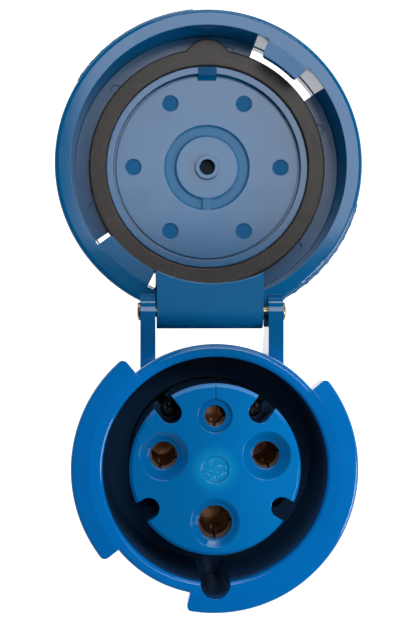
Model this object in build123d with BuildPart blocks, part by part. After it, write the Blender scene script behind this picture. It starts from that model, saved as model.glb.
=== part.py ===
from build123d import *
import os
from math import cos, hypot, radians, sin

os.makedirs("parts", exist_ok=True)

# Sizes are in millimetres. The socket stands on its gland nut, with its mating axis along +Z,
# its hinge towards +Y and its lid swung fully open.
# A depth is counted down from the front rim, a height up from the gland nut's end face.
# A cover is counted up from the rim plane on the closed lid.

# Whole body
FRONT_Z = 232.0
NECK_TOP_Z = 58.0

# Front housing: shroud, ledge and bayonet flange
PLUG_GAP = 9.0
BORE_DEPTH = 52.0
SHROUD_WALL = 4.4
SHROUD_TAPER = 2.5
RIM_EDGE = 1.2
RIM_OUTER_EDGE = 1.5
LEDGE_T = 4.0
SEAT_STEP = 0.6
FLANGE_REACH = 6.3
FLANGE_T = 9.5
FLANGE_FALL = 1.4
FLANGE_EDGE = 1.5
WING_CORNER = 2.2
LEFT_WING = (129.5, 219.3)
RIGHT_WING = (258.2, 399.3)
KEY_R = 5.0
KEY_OFFSET = 0.6
KEY_WALL = 2.6

# Hinge
HINGE_INSET = 2.2
LID_PLAY = 0.8
HINGE_DEPTH = 28.5
KNUCKLE_R = 6.1
ARM_INNER_X = 19.9
ARM_T = 5.3
ARM_FOOT_LENGTH = 36.0
BARREL_GAP_LEFT = 0.5
BARREL_GAP_RIGHT = 1.8
PIN_R = 2.0
PIN_HEAD_R = 3.2
PIN_HEAD_H = 1.1
PIN_DOME = 0.9
PIN_CAP_T = 0.4
PIN_CAP_GRIP = 0.8
PIN_RUNNING = 0.06
STOP_INNER_R = 3.0
STOP_OUTER_R = 5.6
STOP_T = 1.2
STOP_ANGLE = -100.0
STOP_ARC = 70.0
STOP_GAP = 1.0

# Contact carrier and contacts
CARRIER_WALL = 3.75
CARRIER_SINK = 1.5
CARRIER_EDGE = 1.0
CARRIER_GAP = 0.3
CONTACT_PLACE_R = 18.0
CONTACT_SINK = 9.0
CONTACT_GAP = 0.35
CONTACT_WALL = 1.9
CONTACT_TAIL = 22.0
SLEEVE_DEPTH = 42.0
PHASE_PIN_R = 4.0
PILOT_PIN_R = 3.0
EARTH_PIN_R = 5.0
PIN_CLEARANCE = 0.03
PHASE_ENTRY_R = 4.64
PILOT_ENTRY_R = 3.6
EARTH_ENTRY_R = 5.75
PHASE_CONE_R = 8.3
PHASE_CONE_DEPTH = 3.2
PILOT_RING_R = 5.8
PILOT_RING_DEPTH = 1.0
EARTH_DISH_R = 8.3
EARTH_DISH_DEPTH = 1.4
ENTRY_STEP = 0.6
SPLIT_W = 0.8
SPLIT_LENGTH = 24.0
SPRING_W = 3.0
SPRING_T = 0.6
SPRING_SINK = 3.5
SPRING_BED = 0.4
SHOULDER_H = 2.0
SHOULDER_STEP = 0.9
WIRE_HOLE_R = 3.1
WIRE_HOLE_DEPTH = 15.0
TERMINAL_SCREW_R = 2.0
TERMINAL_SCREW_RISE = 6.0
TERMINAL_SCREW_PROUD = 0.6
TERMINAL_TIP_R = 1.25
TERMINAL_SLOT_W = 0.6
TERMINAL_SLOT_DEPTH = 0.8
GATE_MARK_R = 4.7
GATE_MARK_DEPTH = 0.4
INDEX_LINE_W = 0.6
INDEX_LINE_DEPTH = 0.3

# Carrier screws, in notches open to the annular gap
UPPER_NOTCH_INSET = 4.7
UPPER_NOTCH_ANGLES = (52.1, 128.1)
LOWER_NOTCH_INSET = 3.0
LOWER_NOTCH_ANGLES = (210.2, 329.9)
NOTCH_W = 7.3
NOTCH_DEPTH = 30.0
NOTCH_FLOOR_T = 3.0
CARRIER_SCREW_R = 1.75
CARRIER_SCREW_HEAD_R = 3.0
CARRIER_SCREW_HEAD_H = 2.4
CARRIER_SCREW_TIP = 1.0
CROSS_W = 0.9
CROSS_DEPTH = 1.3
CROSS_SPAN = 0.6
RETAINER_T = 8.0
RETAINER_GAP = 0.3

# Rear housing
GRIP_WAIST = 1.0
REAR_GRIP_Z = 92.0
COLLAR_STEP = 2.5
REAR_COLLAR_H = 10.0
REAR_WALL = 3.2
SPIGOT_LENGTH = 16.0
SPIGOT_GAP = 0.2
SPIGOT_WALL = 2.8
SEAL_RING_W = 3.0
SEAL_RING_T = 1.6
FLUTES = 20
FLUTE_R = 3.0
FLUTE_CUT = 0.8
EAR_GAP = 0.4
EAR_R = 5.0
EAR_H = 12.0
BOSS_H = 16.0
HOUSING_SCREW_R = 2.5
HOUSING_SCREW_HEAD_R = 4.0
HOUSING_SCREW_HEAD_H = 3.0
HOUSING_SCREW_GRIP = 11.0
HOUSING_SCREW_TIP = 1.0

# Cord entry
GLAND_SEAL_T = 2.3
NECK_TUBE_T = 4.6
THREAD_GAP = 0.3
THREAD_END_Z = 14.0
NUT_WALL = 5.1
NUT_H = 46.0
NUT_FLOOR = 5.0
NUT_EDGE = 1.5
NUT_FLUTES = 18
CORD_HOLE_R = 18.5
GLAND_GAP = 0.2
SLIP_RING_T = 1.8
CLAW_H = 6.4
CLAW_SLOTS = 12
CLAW_SLOT_W = 2.4
GLAND_SEAL_H = 24.0

# Lid: the plate on the hinge
PLATE_BACK_COVER = 5.7
GASKET_SEAT_COVER = 3.8
DISC_COVER = 2.6
RIB_COVER = 0.5
RIB_GAP = 0.4
RIB_W = 2.5
RIB_GROOVE_W = 0.9
RIB_GROOVE_DEPTH = 1.1
KEY_BLOCK_W = 6.9
KEY_BLOCK_FLAT = 0.6
KEY_BLOCK_SLOPE = 1.8
GROOVE_OUTER_R = 16.0
GROOVE_INNER_R = 11.6
GROOVE_DEPTH = 0.9
GROOVE_FLOOR_W = 3.2
GROOVE_TAB_W = 3.4
GROOVE_TAB_H = 0.7
BOSS_R = 4.5
BOSS_BORE_R = 2.9
BOSS_COVER = 0.8
BOSS_BORE_DEPTH = 3.4
PLATE_MARK_R = 3.0
PLATE_MARK_INSET = 7.4
MARK_DEPTH = 0.4
NECK_GAP = 1.1
NECK_WALL = 4.2
NECK_ROOT = 0.2
NECK_TOP_T = 4.4
HUB_R = 7.0
HUB_RUNNING = 0.05

# Lid gasket
GASKET_GAP = 0.3
GASKET_INSET = 0.3
GASKET_COVER = 0.2
GASKET_EDGE = 0.5
GASKET_LOBE_R = 9.0
GASKET_LOBE_INSET = 5.2

# Locking cap
CAP_FLOOR_COVER = 6.0
CAP_FLOOR_T = 3.0
CAP_RIM_COVER = -14.3
CAP_BACK_COVER = 13.0
CAP_FLANGE_GAP = 1.7
CAP_WALL = 6.0
CAP_TAPER = 1.2
CAP_BORE_DRAFT = 0.8
CAP_EDGE = 1.6
CAP_BACK_EDGE = 2.5
CAP_DISH_RIM = 5.6
PAD_RISE = 0.6
PAD_ANGLES = ((96.0, 148.0), (296.0, 345.0))
PAD_RIBS = 9
PAD_RIB_W = 1.6
LUG_REACH = 6.4
LUG_T = 4.5
LUG_CORNER = 1.6
LUG_ANGLES = ((44.0, 64.0), (216.5, 243.4))
SLOT_GAP = 1.1
SLOT_ANGLES = ((34.8, 68.9), (213.2, 246.5))
CAP_MARK_R = 1.8
CAP_MARK_INSET = 1.2
CAP_MARK_START = 19.3

# Pivot of the locking cap
PIVOT_SCREW_R = 2.0
PIVOT_SCREW_HEAD_R = 3.8
PIVOT_SCREW_HEAD_H = 2.4
PIVOT_FLOOR_T = 0.8
PIVOT_WASHER_R = 11.0
PIVOT_WASHER_T = 1.2
PIVOT_PLAY = 0.2
PIVOT_SCREW_TIP = 0.5

# Levels and places that follow from the sizes above
HINGE_Z = FRONT_Z - HINGE_DEPTH
LEDGE_TOP_Z = FRONT_Z - BORE_DEPTH
LEDGE_UNDER_Z = LEDGE_TOP_Z - LEDGE_T
RETAINER_Z = LEDGE_UNDER_Z - RETAINER_T
JOINT_Z = RETAINER_Z - SPIGOT_LENGTH
CARRIER_TOP_Z = FRONT_Z - CARRIER_SINK
NOTCH_FLOOR_Z = FRONT_Z - NOTCH_DEPTH
CARRIER_UNDER_Z = NOTCH_FLOOR_Z - NOTCH_FLOOR_T
CONTACT_TOP_Z = FRONT_Z - CONTACT_SINK
CONTACT_END_Z = LEDGE_UNDER_Z - CONTACT_TAIL
CARRIER_R = CONTACT_PLACE_R + EARTH_PIN_R + CONTACT_WALL + CONTACT_GAP + CARRIER_WALL
BORE_R = CARRIER_R + PLUG_GAP
RIM_R = BORE_R + SHROUD_WALL
FLANGE_R = RIM_R + FLANGE_REACH
SEAT_BORE_R = BORE_R - SEAT_STEP
KEY_PLACE_R = BORE_R + KEY_OFFSET
SHROUD_END_R = RIM_R - SHROUD_TAPER
EAR_X = SHROUD_END_R + EAR_GAP + HOUSING_SCREW_HEAD_R
ARM_OUTER_X = ARM_INNER_X + ARM_T
BARREL_LEFT_X = -ARM_INNER_X + BARREL_GAP_LEFT
BARREL_RIGHT_X = ARM_INNER_X - BARREL_GAP_RIGHT
CAP_BORE_R = FLANGE_R + CAP_FLANGE_GAP
CAP_R = CAP_BORE_R + CAP_WALL
CAP_BACK_R = CAP_R - CAP_TAPER
CAP_DISH_R = CAP_BACK_R - CAP_DISH_RIM
LUG_INNER_R = CAP_BORE_R - LUG_REACH
SLOT_OUTER_R = CAP_BORE_R - SLOT_GAP
CAP_MARK_CIRCLE_R = LUG_INNER_R + CAP_MARK_INSET
NECK_OUTER_R = CAP_BORE_R - CAP_BORE_DRAFT - NECK_GAP
NECK_INNER_R = NECK_OUTER_R - NECK_WALL
LID_PLATE_R = NECK_INNER_R + NECK_ROOT
RIB_OUTER_R = BORE_R - RIB_GAP
RIB_INNER_R = RIB_OUTER_R - RIB_W
PLATE_MARK_CIRCLE_R = RIB_INNER_R - PLATE_MARK_INSET
GASKET_INNER_R = RIB_OUTER_R + GASKET_GAP
GASKET_OUTER_R = LID_PLATE_R - GASKET_INSET
GASKET_LOBE_PLACE_R = GASKET_OUTER_R - GASKET_LOBE_INSET
HUB_END_COVER = CAP_FLOOR_COVER + CAP_FLOOR_T + PIVOT_PLAY
PIVOT_HOLE_DEPTH = HUB_END_COVER - BOSS_COVER - BOSS_BORE_DEPTH - PIVOT_FLOOR_T
LID_ARM = CAP_R - HINGE_INSET
HINGE_Y = LID_ARM - LID_PLAY
LID_Y = HINGE_Y + LID_ARM
NECK_BORE_R = CORD_HOLE_R + GLAND_SEAL_T + GLAND_GAP
THREAD_R = NECK_BORE_R + NECK_TUBE_T
NUT_R = THREAD_R + THREAD_GAP + NUT_WALL
REAR_COLLAR_R = NUT_R + COLLAR_STEP
REAR_GRIP_R = REAR_COLLAR_R - GRIP_WAIST
SPIGOT_R = SEAT_BORE_R - SPIGOT_GAP
NOTCHES = [(CARRIER_R - UPPER_NOTCH_INSET, angle) for angle in UPPER_NOTCH_ANGLES]
NOTCHES += [(CARRIER_R - LOWER_NOTCH_INSET, angle) for angle in LOWER_NOTCH_ANGLES]
LID_AXIS = Axis((0, LID_Y, 0), (0, 0, 1))


def polar(radius, angle):
    """Point of the socket's cross section at a radius and an angle from +X."""
    return radius * cos(radians(angle)), radius * sin(radians(angle))


def open_z(cover):
    """Height, on the open lid, of a level that the closed lid has above the rim plane."""
    return 2 * HINGE_Z - FRONT_Z - cover


def half_plane(x=0.0, y=0.0):
    """Plane for a turned profile: radius across, height up, about the vertical at x, y."""
    return Plane(origin=(x, y, 0), x_dir=(1, 0, 0), z_dir=(0, -1, 0))


def turned(points, x=0.0, y=0.0):
    """Solid turned from (radius, height) points about the vertical at x, y."""
    with BuildPart() as body:
        with BuildSketch(half_plane(x, y)):
            with BuildLine():
                Polyline(*points, close=True)
            make_face()
        revolve(axis=Axis((x, y, 0), (0, 0, 1)))
    return body.part


def ring_sector(inner_r, outer_r, start, end, corner=0.0, inner_corner=0.0):
    """Face of a ring between two angles, with its outer and inner corners rounded."""
    with BuildSketch() as sector:
        with BuildLine():
            outer = CenterArc((0, 0), outer_r, start, end - start)
            inner = CenterArc((0, 0), inner_r, start, end - start)
            Line(outer @ 0, inner @ 0)
            Line(outer @ 1, inner @ 1)
        make_face()
        middle = (inner_r + outer_r) / 2
        corners = sector.vertices()
        if corner:
            fillet([v for v in corners if hypot(v.X, v.Y) > middle], corner)
        if inner_corner:
            corners = sector.vertices()
            fillet([v for v in corners if hypot(v.X, v.Y) < middle], inner_corner)
    return sector.sketch


def finish(part, name):
    """Label a finished piece and write it."""
    part.label = name
    export_step(part, f"parts/{name}.step")


# Bayonet flange: two wings with rounded ends, their front falling a little to a rounded edge
with BuildPart() as flange:
    with BuildSketch(Plane.XY.offset(FRONT_Z - FLANGE_T)):
        for wing in (LEFT_WING, RIGHT_WING):
            add(ring_sector(RIM_R - SHROUD_WALL / 2, FLANGE_R, *wing, corner=WING_CORNER))
    extrude(amount=FLANGE_T)
    with BuildSketch(half_plane()) as envelope:
        with BuildLine():
            Polyline(
                (0, FRONT_Z - FLANGE_T),
                (FLANGE_R, FRONT_Z - FLANGE_T),
                (FLANGE_R, FRONT_Z - FLANGE_FALL),
                (RIM_R, FRONT_Z),
                (0, FRONT_Z),
                close=True,
            )
        make_face()
        fillet(envelope.vertices().group_by(Axis.X)[-1].sort_by(Axis.Y)[-1], FLANGE_EDGE)
    revolve(axis=Axis.Z, mode=Mode.INTERSECT)


# Front housing: tapered shroud with the flange, keyway, hinge arms and screw bosses
with BuildPart() as front_housing:
    with BuildSketch(half_plane()) as shroud:
        with BuildLine():
            Polyline(
                (0, JOINT_Z),
                (SHROUD_END_R, JOINT_Z),
                (RIM_R, FRONT_Z),
                (0, FRONT_Z),
                close=True,
            )
        make_face()
        fillet(shroud.vertices().sort_by(Axis.X)[-1], RIM_OUTER_EDGE)
    revolve(axis=Axis.Z)
    add(flange.part)
    # Outer wall of the keyway
    with BuildSketch(Plane.XY.offset(LEDGE_UNDER_Z)):
        with Locations((0, -KEY_PLACE_R)):
            Circle(KEY_R + KEY_WALL)
    extrude(amount=BORE_DEPTH + LEDGE_T - FLANGE_T / 2)
    # Hinge arms, from the shroud's wall to the knuckles, with a level top
    for arm_x in (ARM_INNER_X, -ARM_OUTER_X):
        with BuildSketch(Plane.YZ.offset(arm_x)):
            with Locations((HINGE_Y, HINGE_Z)):
                Circle(KNUCKLE_R)
            foot_z = HINGE_Z + KNUCKLE_R - ARM_FOOT_LENGTH / 2
            with Locations((SHROUD_END_R / 2, foot_z)):
                Rectangle(SHROUD_END_R / 2, ARM_FOOT_LENGTH)
            make_hull()
        extrude(amount=ARM_T)
    # Bosses for the two housing screws
    with BuildSketch(Plane.XY.offset(JOINT_Z)):
        with Locations((EAR_X, 0), (-EAR_X, 0)):
            Circle(EAR_R)
        Rectangle(2 * EAR_X, 2 * EAR_R)
    extrude(amount=BOSS_H)
    # Bore, ledge and seat bore in one turned cut
    with BuildSketch(half_plane()):
        with BuildLine():
            mouth = CenterArc((BORE_R + RIM_EDGE, FRONT_Z - RIM_EDGE), RIM_EDGE, 90, 90)
            Polyline(
                mouth @ 1,
                (BORE_R, LEDGE_TOP_Z),
                (CARRIER_R + CARRIER_GAP, LEDGE_TOP_Z),
                (CARRIER_R + CARRIER_GAP, LEDGE_UNDER_Z),
                (SEAT_BORE_R, LEDGE_UNDER_Z),
                (SEAT_BORE_R, JOINT_Z),
                (0, JOINT_Z),
                (0, FRONT_Z),
                mouth @ 0,
            )
        make_face()
    revolve(axis=Axis.Z, mode=Mode.SUBTRACT)
    # Keyway
    with BuildSketch(Plane.XY.offset(LEDGE_TOP_Z)):
        with Locations((0, -KEY_PLACE_R)):
            Circle(KEY_R)
    extrude(amount=BORE_DEPTH, mode=Mode.SUBTRACT)
    # Pin hole through both arms
    with BuildSketch(Plane.YZ.offset(-ARM_OUTER_X)):
        with Locations((HINGE_Y, HINGE_Z)):
            Circle(PIN_R)
    extrude(amount=2 * ARM_OUTER_X, mode=Mode.SUBTRACT)
    # Threaded holes for the housing screws
    with BuildSketch(Plane.XY.offset(JOINT_Z)):
        with Locations((EAR_X, 0), (-EAR_X, 0)):
            Circle(HOUSING_SCREW_R)
    extrude(amount=HOUSING_SCREW_GRIP + HOUSING_SCREW_TIP, mode=Mode.SUBTRACT)
    # Stop on the right arm that holds the lid open
    with BuildSketch(Plane.YZ.offset(ARM_INNER_X - STOP_T)):
        with Locations((HINGE_Y, HINGE_Z)):
            add(ring_sector(STOP_INNER_R, STOP_OUTER_R, STOP_ANGLE - STOP_ARC, STOP_ANGLE))
    extrude(amount=STOP_T)
finish(front_housing.part, "front_housing")


# Contacts: (name, angle, pin radius, entry radius)
CONTACTS = (
    ("contact_live", 165.0, PHASE_PIN_R, PHASE_ENTRY_R),
    ("contact_neutral", 15.0, PHASE_PIN_R, PHASE_ENTRY_R),
    ("contact_pilot", 90.0, PILOT_PIN_R, PILOT_ENTRY_R),
    ("contact_earth", 270.0, EARTH_PIN_R, EARTH_ENTRY_R),
)


# Contact carrier: the insert's front half, with its contact channels, screw notches and marks
with BuildPart() as contact_carrier:
    with BuildSketch(Plane.XY.offset(CARRIER_UNDER_Z)):
        Circle(CARRIER_R)
    extrude(amount=CARRIER_TOP_Z - CARRIER_UNDER_Z)
    chamfer(contact_carrier.edges().group_by(Axis.Z)[-1], CARRIER_EDGE)
    # Channels: narrow entry above, room for the sleeve below
    for name, angle, pin_r, entry_r in CONTACTS:
        place = polar(CONTACT_PLACE_R, angle)
        with BuildSketch(Plane.XY.offset(CARRIER_UNDER_Z)):
            with Locations(place):
                Circle(entry_r)
        extrude(amount=CARRIER_TOP_Z - CARRIER_UNDER_Z, mode=Mode.SUBTRACT)
        with BuildSketch(Plane.XY.offset(CARRIER_UNDER_Z)):
            with Locations(place):
                Circle(pin_r + CONTACT_WALL + CONTACT_GAP)
        extrude(amount=CONTACT_TOP_Z + CONTACT_GAP - CARRIER_UNDER_Z, mode=Mode.SUBTRACT)
    # Cones at the phase entries
    for angle in (15.0, 165.0):
        x, y = polar(CONTACT_PLACE_R, angle)
        cone = turned(
            [
                (0, CARRIER_TOP_Z - PHASE_CONE_DEPTH),
                (PHASE_ENTRY_R + ENTRY_STEP, CARRIER_TOP_Z - PHASE_CONE_DEPTH),
                (PHASE_CONE_R, CARRIER_TOP_Z),
                (0, CARRIER_TOP_Z),
            ],
            x,
            y,
        )
        add(cone, mode=Mode.SUBTRACT)
    # Shallow ring at the pilot entry and dish at the earth entry
    with BuildSketch(Plane.XY.offset(CARRIER_TOP_Z)):
        with Locations((0, CONTACT_PLACE_R)):
            Circle(PILOT_RING_R)
    extrude(amount=-PILOT_RING_DEPTH, mode=Mode.SUBTRACT)
    dish = turned(
        [
            (0, CARRIER_TOP_Z - EARTH_DISH_DEPTH),
            (EARTH_ENTRY_R + ENTRY_STEP, CARRIER_TOP_Z - EARTH_DISH_DEPTH),
            (EARTH_DISH_R, CARRIER_TOP_Z),
            (0, CARRIER_TOP_Z),
        ],
        0,
        -CONTACT_PLACE_R,
    )
    add(dish, mode=Mode.SUBTRACT)
    # Notches, open to the gap, and the screws' slots in their floors
    for radius, angle in NOTCHES:
        with BuildSketch(Plane.XY.offset(NOTCH_FLOOR_Z)):
            with Locations(polar(radius, angle)):
                Circle(NOTCH_W / 2)
            with Locations(polar(radius + NOTCH_W / 2, angle)):
                Rectangle(NOTCH_W, NOTCH_W, rotation=angle)
        extrude(amount=NOTCH_DEPTH, mode=Mode.SUBTRACT)
        with BuildSketch(Plane.XY.offset(CARRIER_UNDER_Z)):
            with Locations(polar(radius, angle)):
                Circle(CARRIER_SCREW_R)
            with Locations(polar(radius + NOTCH_W / 2, angle)):
                Rectangle(NOTCH_W, 2 * CARRIER_SCREW_R, rotation=angle)
        extrude(amount=NOTCH_FLOOR_T, mode=Mode.SUBTRACT)
    # Gate mark in the middle and index line at twelve o'clock
    with BuildSketch(Plane.XY.offset(CARRIER_TOP_Z)):
        Circle(GATE_MARK_R)
    extrude(amount=-GATE_MARK_DEPTH, mode=Mode.SUBTRACT)
    with BuildSketch(Plane.XY.offset(CARRIER_TOP_Z)):
        line_start = CONTACT_PLACE_R + PILOT_RING_R
        with Locations((0, (line_start + CARRIER_R) / 2)):
            Rectangle(INDEX_LINE_W, CARRIER_R - line_start)
    extrude(amount=-INDEX_LINE_DEPTH, mode=Mode.SUBTRACT)
finish(contact_carrier.part, "contact_carrier")


# Carrier base: the insert's rear half, round the sleeves, with the screws' shanks in its notches
with BuildPart() as carrier_base:
    with BuildSketch(Plane.XY.offset(LEDGE_UNDER_Z)):
        Circle(CARRIER_R)
        for name, angle, pin_r, entry_r in CONTACTS:
            with Locations(polar(CONTACT_PLACE_R, angle)):
                Circle(pin_r + CONTACT_WALL + CONTACT_GAP, mode=Mode.SUBTRACT)
        for radius, angle in NOTCHES:
            with Locations(polar(radius, angle)):
                Circle(NOTCH_W / 2, mode=Mode.SUBTRACT)
            with Locations(polar(radius + NOTCH_W / 2, angle)):
                Rectangle(NOTCH_W, NOTCH_W, rotation=angle, mode=Mode.SUBTRACT)
    extrude(amount=CARRIER_UNDER_Z - LEDGE_UNDER_Z)
finish(carrier_base.part, "carrier_base")


# Carrier retainer: plate behind the ledge, carrying the contacts' shoulders
with BuildPart() as carrier_retainer:
    with BuildSketch(Plane.XY.offset(RETAINER_Z)):
        Circle(SEAT_BORE_R - RETAINER_GAP)
    extrude(amount=RETAINER_T)
    for name, angle, pin_r, entry_r in CONTACTS:
        place = polar(CONTACT_PLACE_R, angle)
        tube_r = pin_r + CONTACT_WALL
        with BuildSketch(Plane.XY.offset(RETAINER_Z)):
            with Locations(place):
                Circle(tube_r + CONTACT_GAP)
        extrude(amount=RETAINER_T, mode=Mode.SUBTRACT)
        with BuildSketch(Plane.XY.offset(LEDGE_UNDER_Z)):
            with Locations(place):
                Circle(tube_r + SHOULDER_STEP + CONTACT_GAP)
        extrude(amount=-SHOULDER_H, mode=Mode.SUBTRACT)
    for radius, angle in NOTCHES:
        with BuildSketch(Plane.XY.offset(RETAINER_Z)):
            with Locations(polar(radius, angle)):
                Circle(CARRIER_SCREW_R)
        extrude(amount=RETAINER_T, mode=Mode.SUBTRACT)
finish(carrier_retainer.part, "carrier_retainer")


def contact(angle, pin_r):
    """Split sleeve with a shoulder, and a terminal for the conductor behind it."""
    x, y = polar(CONTACT_PLACE_R, angle)
    tube_r = pin_r + CONTACT_WALL
    shoulder_r = tube_r + SHOULDER_STEP
    spring_top = CONTACT_TOP_Z - SPRING_SINK
    groove_r = tube_r - SPRING_BED
    with BuildPart() as body:
        add(
            turned(
                [
                    (0, CONTACT_END_Z),
                    (tube_r, CONTACT_END_Z),
                    (tube_r, LEDGE_UNDER_Z - SHOULDER_H),
                    (shoulder_r, LEDGE_UNDER_Z - SHOULDER_H),
                    (shoulder_r, LEDGE_UNDER_Z),
                    (tube_r, LEDGE_UNDER_Z),
                    (tube_r, spring_top - SPRING_W),
                    (groove_r, spring_top - SPRING_W),
                    (groove_r, spring_top),
                    (tube_r, spring_top),
                    (tube_r, CONTACT_TOP_Z),
                    (0, CONTACT_TOP_Z),
                ],
                x,
                y,
            )
        )
        # Bore for the pin
        with BuildSketch(Plane.XY.offset(CONTACT_TOP_Z)):
            with Locations((x, y)):
                Circle(pin_r + PIN_CLEARANCE)
        extrude(amount=-SLEEVE_DEPTH, mode=Mode.SUBTRACT)
        # Slits that let the sleeve spring
        with BuildSketch(Plane.XY.offset(CONTACT_TOP_Z)):
            with Locations((x, y)):
                Rectangle(3 * tube_r, SPLIT_W, rotation=angle)
                Rectangle(SPLIT_W, 3 * tube_r, rotation=angle)
        extrude(amount=-SPLIT_LENGTH, mode=Mode.SUBTRACT)
        # Hole for the conductor, and the screw's threaded hole across it
        with BuildSketch(Plane.XY.offset(CONTACT_END_Z)):
            with Locations((x, y)):
                Circle(WIRE_HOLE_R)
        extrude(amount=WIRE_HOLE_DEPTH, mode=Mode.SUBTRACT)
        with BuildSketch(screw_plane(angle)):
            Circle(TERMINAL_SCREW_R)
        extrude(amount=tube_r + TERMINAL_SCREW_PROUD, mode=Mode.SUBTRACT)
    return body.part


def screw_plane(angle):
    """Plane at a contact's axis, facing outwards along its terminal screw."""
    x, y = polar(CONTACT_PLACE_R, angle)
    outwards = (cos(radians(angle)), sin(radians(angle)), 0)
    return Plane(origin=(x, y, CONTACT_END_Z + TERMINAL_SCREW_RISE), x_dir=(0, 0, 1), z_dir=outwards)


for name, angle, pin_r, entry_r in CONTACTS:
    finish(contact(angle, pin_r), name)


# Contact springs: one open ring round each sleeve, in its groove
with BuildPart() as contact_springs:
    for name, angle, pin_r, entry_r in CONTACTS:
        groove_r = pin_r + CONTACT_WALL - SPRING_BED
        with BuildSketch(Plane.XY.offset(CONTACT_TOP_Z - SPRING_SINK)):
            with Locations(polar(CONTACT_PLACE_R, angle)):
                Circle(groove_r + SPRING_T)
                Circle(groove_r, mode=Mode.SUBTRACT)
            with Locations(polar(CONTACT_PLACE_R + groove_r, angle)):
                Rectangle(3 * SPRING_T, SPLIT_W, rotation=angle, mode=Mode.SUBTRACT)
        extrude(amount=-SPRING_W)
finish(contact_springs.part, "contact_springs")


# Terminal screws: a slotted grub screw in each terminal
with BuildPart() as terminal_screws:
    for name, angle, pin_r, entry_r in CONTACTS:
        tube_r = pin_r + CONTACT_WALL
        with BuildSketch(screw_plane(angle).offset(TERMINAL_TIP_R)):
            Circle(TERMINAL_SCREW_R)
        extrude(amount=tube_r + TERMINAL_SCREW_PROUD - TERMINAL_TIP_R)
        with BuildSketch(screw_plane(angle).offset(tube_r + TERMINAL_SCREW_PROUD)):
            Rectangle(3 * TERMINAL_SCREW_R, TERMINAL_SLOT_W)
        extrude(amount=-TERMINAL_SLOT_DEPTH, mode=Mode.SUBTRACT)
finish(terminal_screws.part, "terminal_screws")


# Carrier screws: cross-head screws at the bottom of the notches
with BuildPart() as carrier_screws:
    for radius, angle in NOTCHES:
        place = polar(radius, angle)
        with BuildSketch(Plane.XY.offset(NOTCH_FLOOR_Z)):
            with Locations(place):
                Circle(CARRIER_SCREW_HEAD_R)
        extrude(amount=CARRIER_SCREW_HEAD_H)
        with BuildSketch(Plane.XY.offset(RETAINER_Z + CARRIER_SCREW_TIP)):
            with Locations(place):
                Circle(CARRIER_SCREW_R)
        extrude(amount=NOTCH_FLOOR_Z - RETAINER_Z - CARRIER_SCREW_TIP)
        with BuildSketch(Plane.XY.offset(NOTCH_FLOOR_Z + CARRIER_SCREW_HEAD_H)):
            with Locations(place):
                Rectangle(2 * CROSS_SPAN * CARRIER_SCREW_HEAD_R, CROSS_W, rotation=angle)
                Rectangle(CROSS_W, 2 * CROSS_SPAN * CARRIER_SCREW_HEAD_R, rotation=angle)
        extrude(amount=-CROSS_DEPTH, mode=Mode.SUBTRACT)
finish(carrier_screws.part, "carrier_screws")


# Rear housing: waisted grip, spigot into the front housing, threaded neck for the gland nut
with BuildPart() as rear_housing:
    collar_z = NECK_TOP_Z + REAR_COLLAR_H
    with BuildSketch(half_plane()):
        with BuildLine():
            Line((0, JOINT_Z), (SHROUD_END_R, JOINT_Z))
            Line((SHROUD_END_R, JOINT_Z), (SHROUD_END_R, JOINT_Z - EAR_H))
            Spline(
                (SHROUD_END_R, JOINT_Z - EAR_H),
                (REAR_GRIP_R, REAR_GRIP_Z),
                (REAR_COLLAR_R, collar_z),
                tangents=((-0.1, -1), (0.1, -1)),
            )
            Line((REAR_COLLAR_R, collar_z), (REAR_COLLAR_R, NECK_TOP_Z))
            Line((REAR_COLLAR_R, NECK_TOP_Z), (THREAD_R, NECK_TOP_Z))
            Line((THREAD_R, NECK_TOP_Z), (THREAD_R, THREAD_END_Z))
            Line((THREAD_R, THREAD_END_Z), (0, THREAD_END_Z))
            Line((0, THREAD_END_Z), (0, JOINT_Z))
        make_face()
    revolve(axis=Axis.Z)
    # Finger flutes round the grip
    with BuildSketch(Plane.XY.offset(collar_z)):
        with PolarLocations(REAR_GRIP_R + FLUTE_R - FLUTE_CUT, FLUTES):
            Circle(FLUTE_R)
    extrude(amount=2 * (REAR_GRIP_Z - collar_z), mode=Mode.SUBTRACT)
    # Ears for the housing screws
    with BuildSketch(Plane.XY.offset(JOINT_Z - EAR_H)):
        with Locations((EAR_X, 0), (-EAR_X, 0)):
            Circle(EAR_R)
        Rectangle(2 * EAR_X, 2 * EAR_R)
    extrude(amount=EAR_H)
    # Spigot
    with BuildSketch(Plane.XY.offset(JOINT_Z)):
        Circle(SPIGOT_R)
    extrude(amount=SPIGOT_LENGTH)
    # Cavity
    cavity = turned(
        [
            (0, THREAD_END_Z),
            (NECK_BORE_R, THREAD_END_Z),
            (NECK_BORE_R, NECK_TOP_Z),
            (REAR_GRIP_R - REAR_WALL, NECK_TOP_Z + REAR_WALL),
            (REAR_GRIP_R - REAR_WALL, REAR_GRIP_Z),
            (SPIGOT_R - SPIGOT_WALL, JOINT_Z - EAR_H),
            (SPIGOT_R - SPIGOT_WALL, RETAINER_Z),
            (0, RETAINER_Z),
        ]
    )
    add(cavity, mode=Mode.SUBTRACT)
    # Groove for the seal ring
    with BuildSketch(Plane.XY.offset(JOINT_Z + SEAL_RING_W)):
        Circle(SPIGOT_R)
        Circle(SPIGOT_R - SEAL_RING_T, mode=Mode.SUBTRACT)
    extrude(amount=SEAL_RING_W, mode=Mode.SUBTRACT)
    # Through holes in the ears
    with BuildSketch(Plane.XY.offset(JOINT_Z - EAR_H)):
        with Locations((EAR_X, 0), (-EAR_X, 0)):
            Circle(HOUSING_SCREW_R + GLAND_GAP)
    extrude(amount=EAR_H, mode=Mode.SUBTRACT)
finish(rear_housing.part, "rear_housing")


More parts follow.
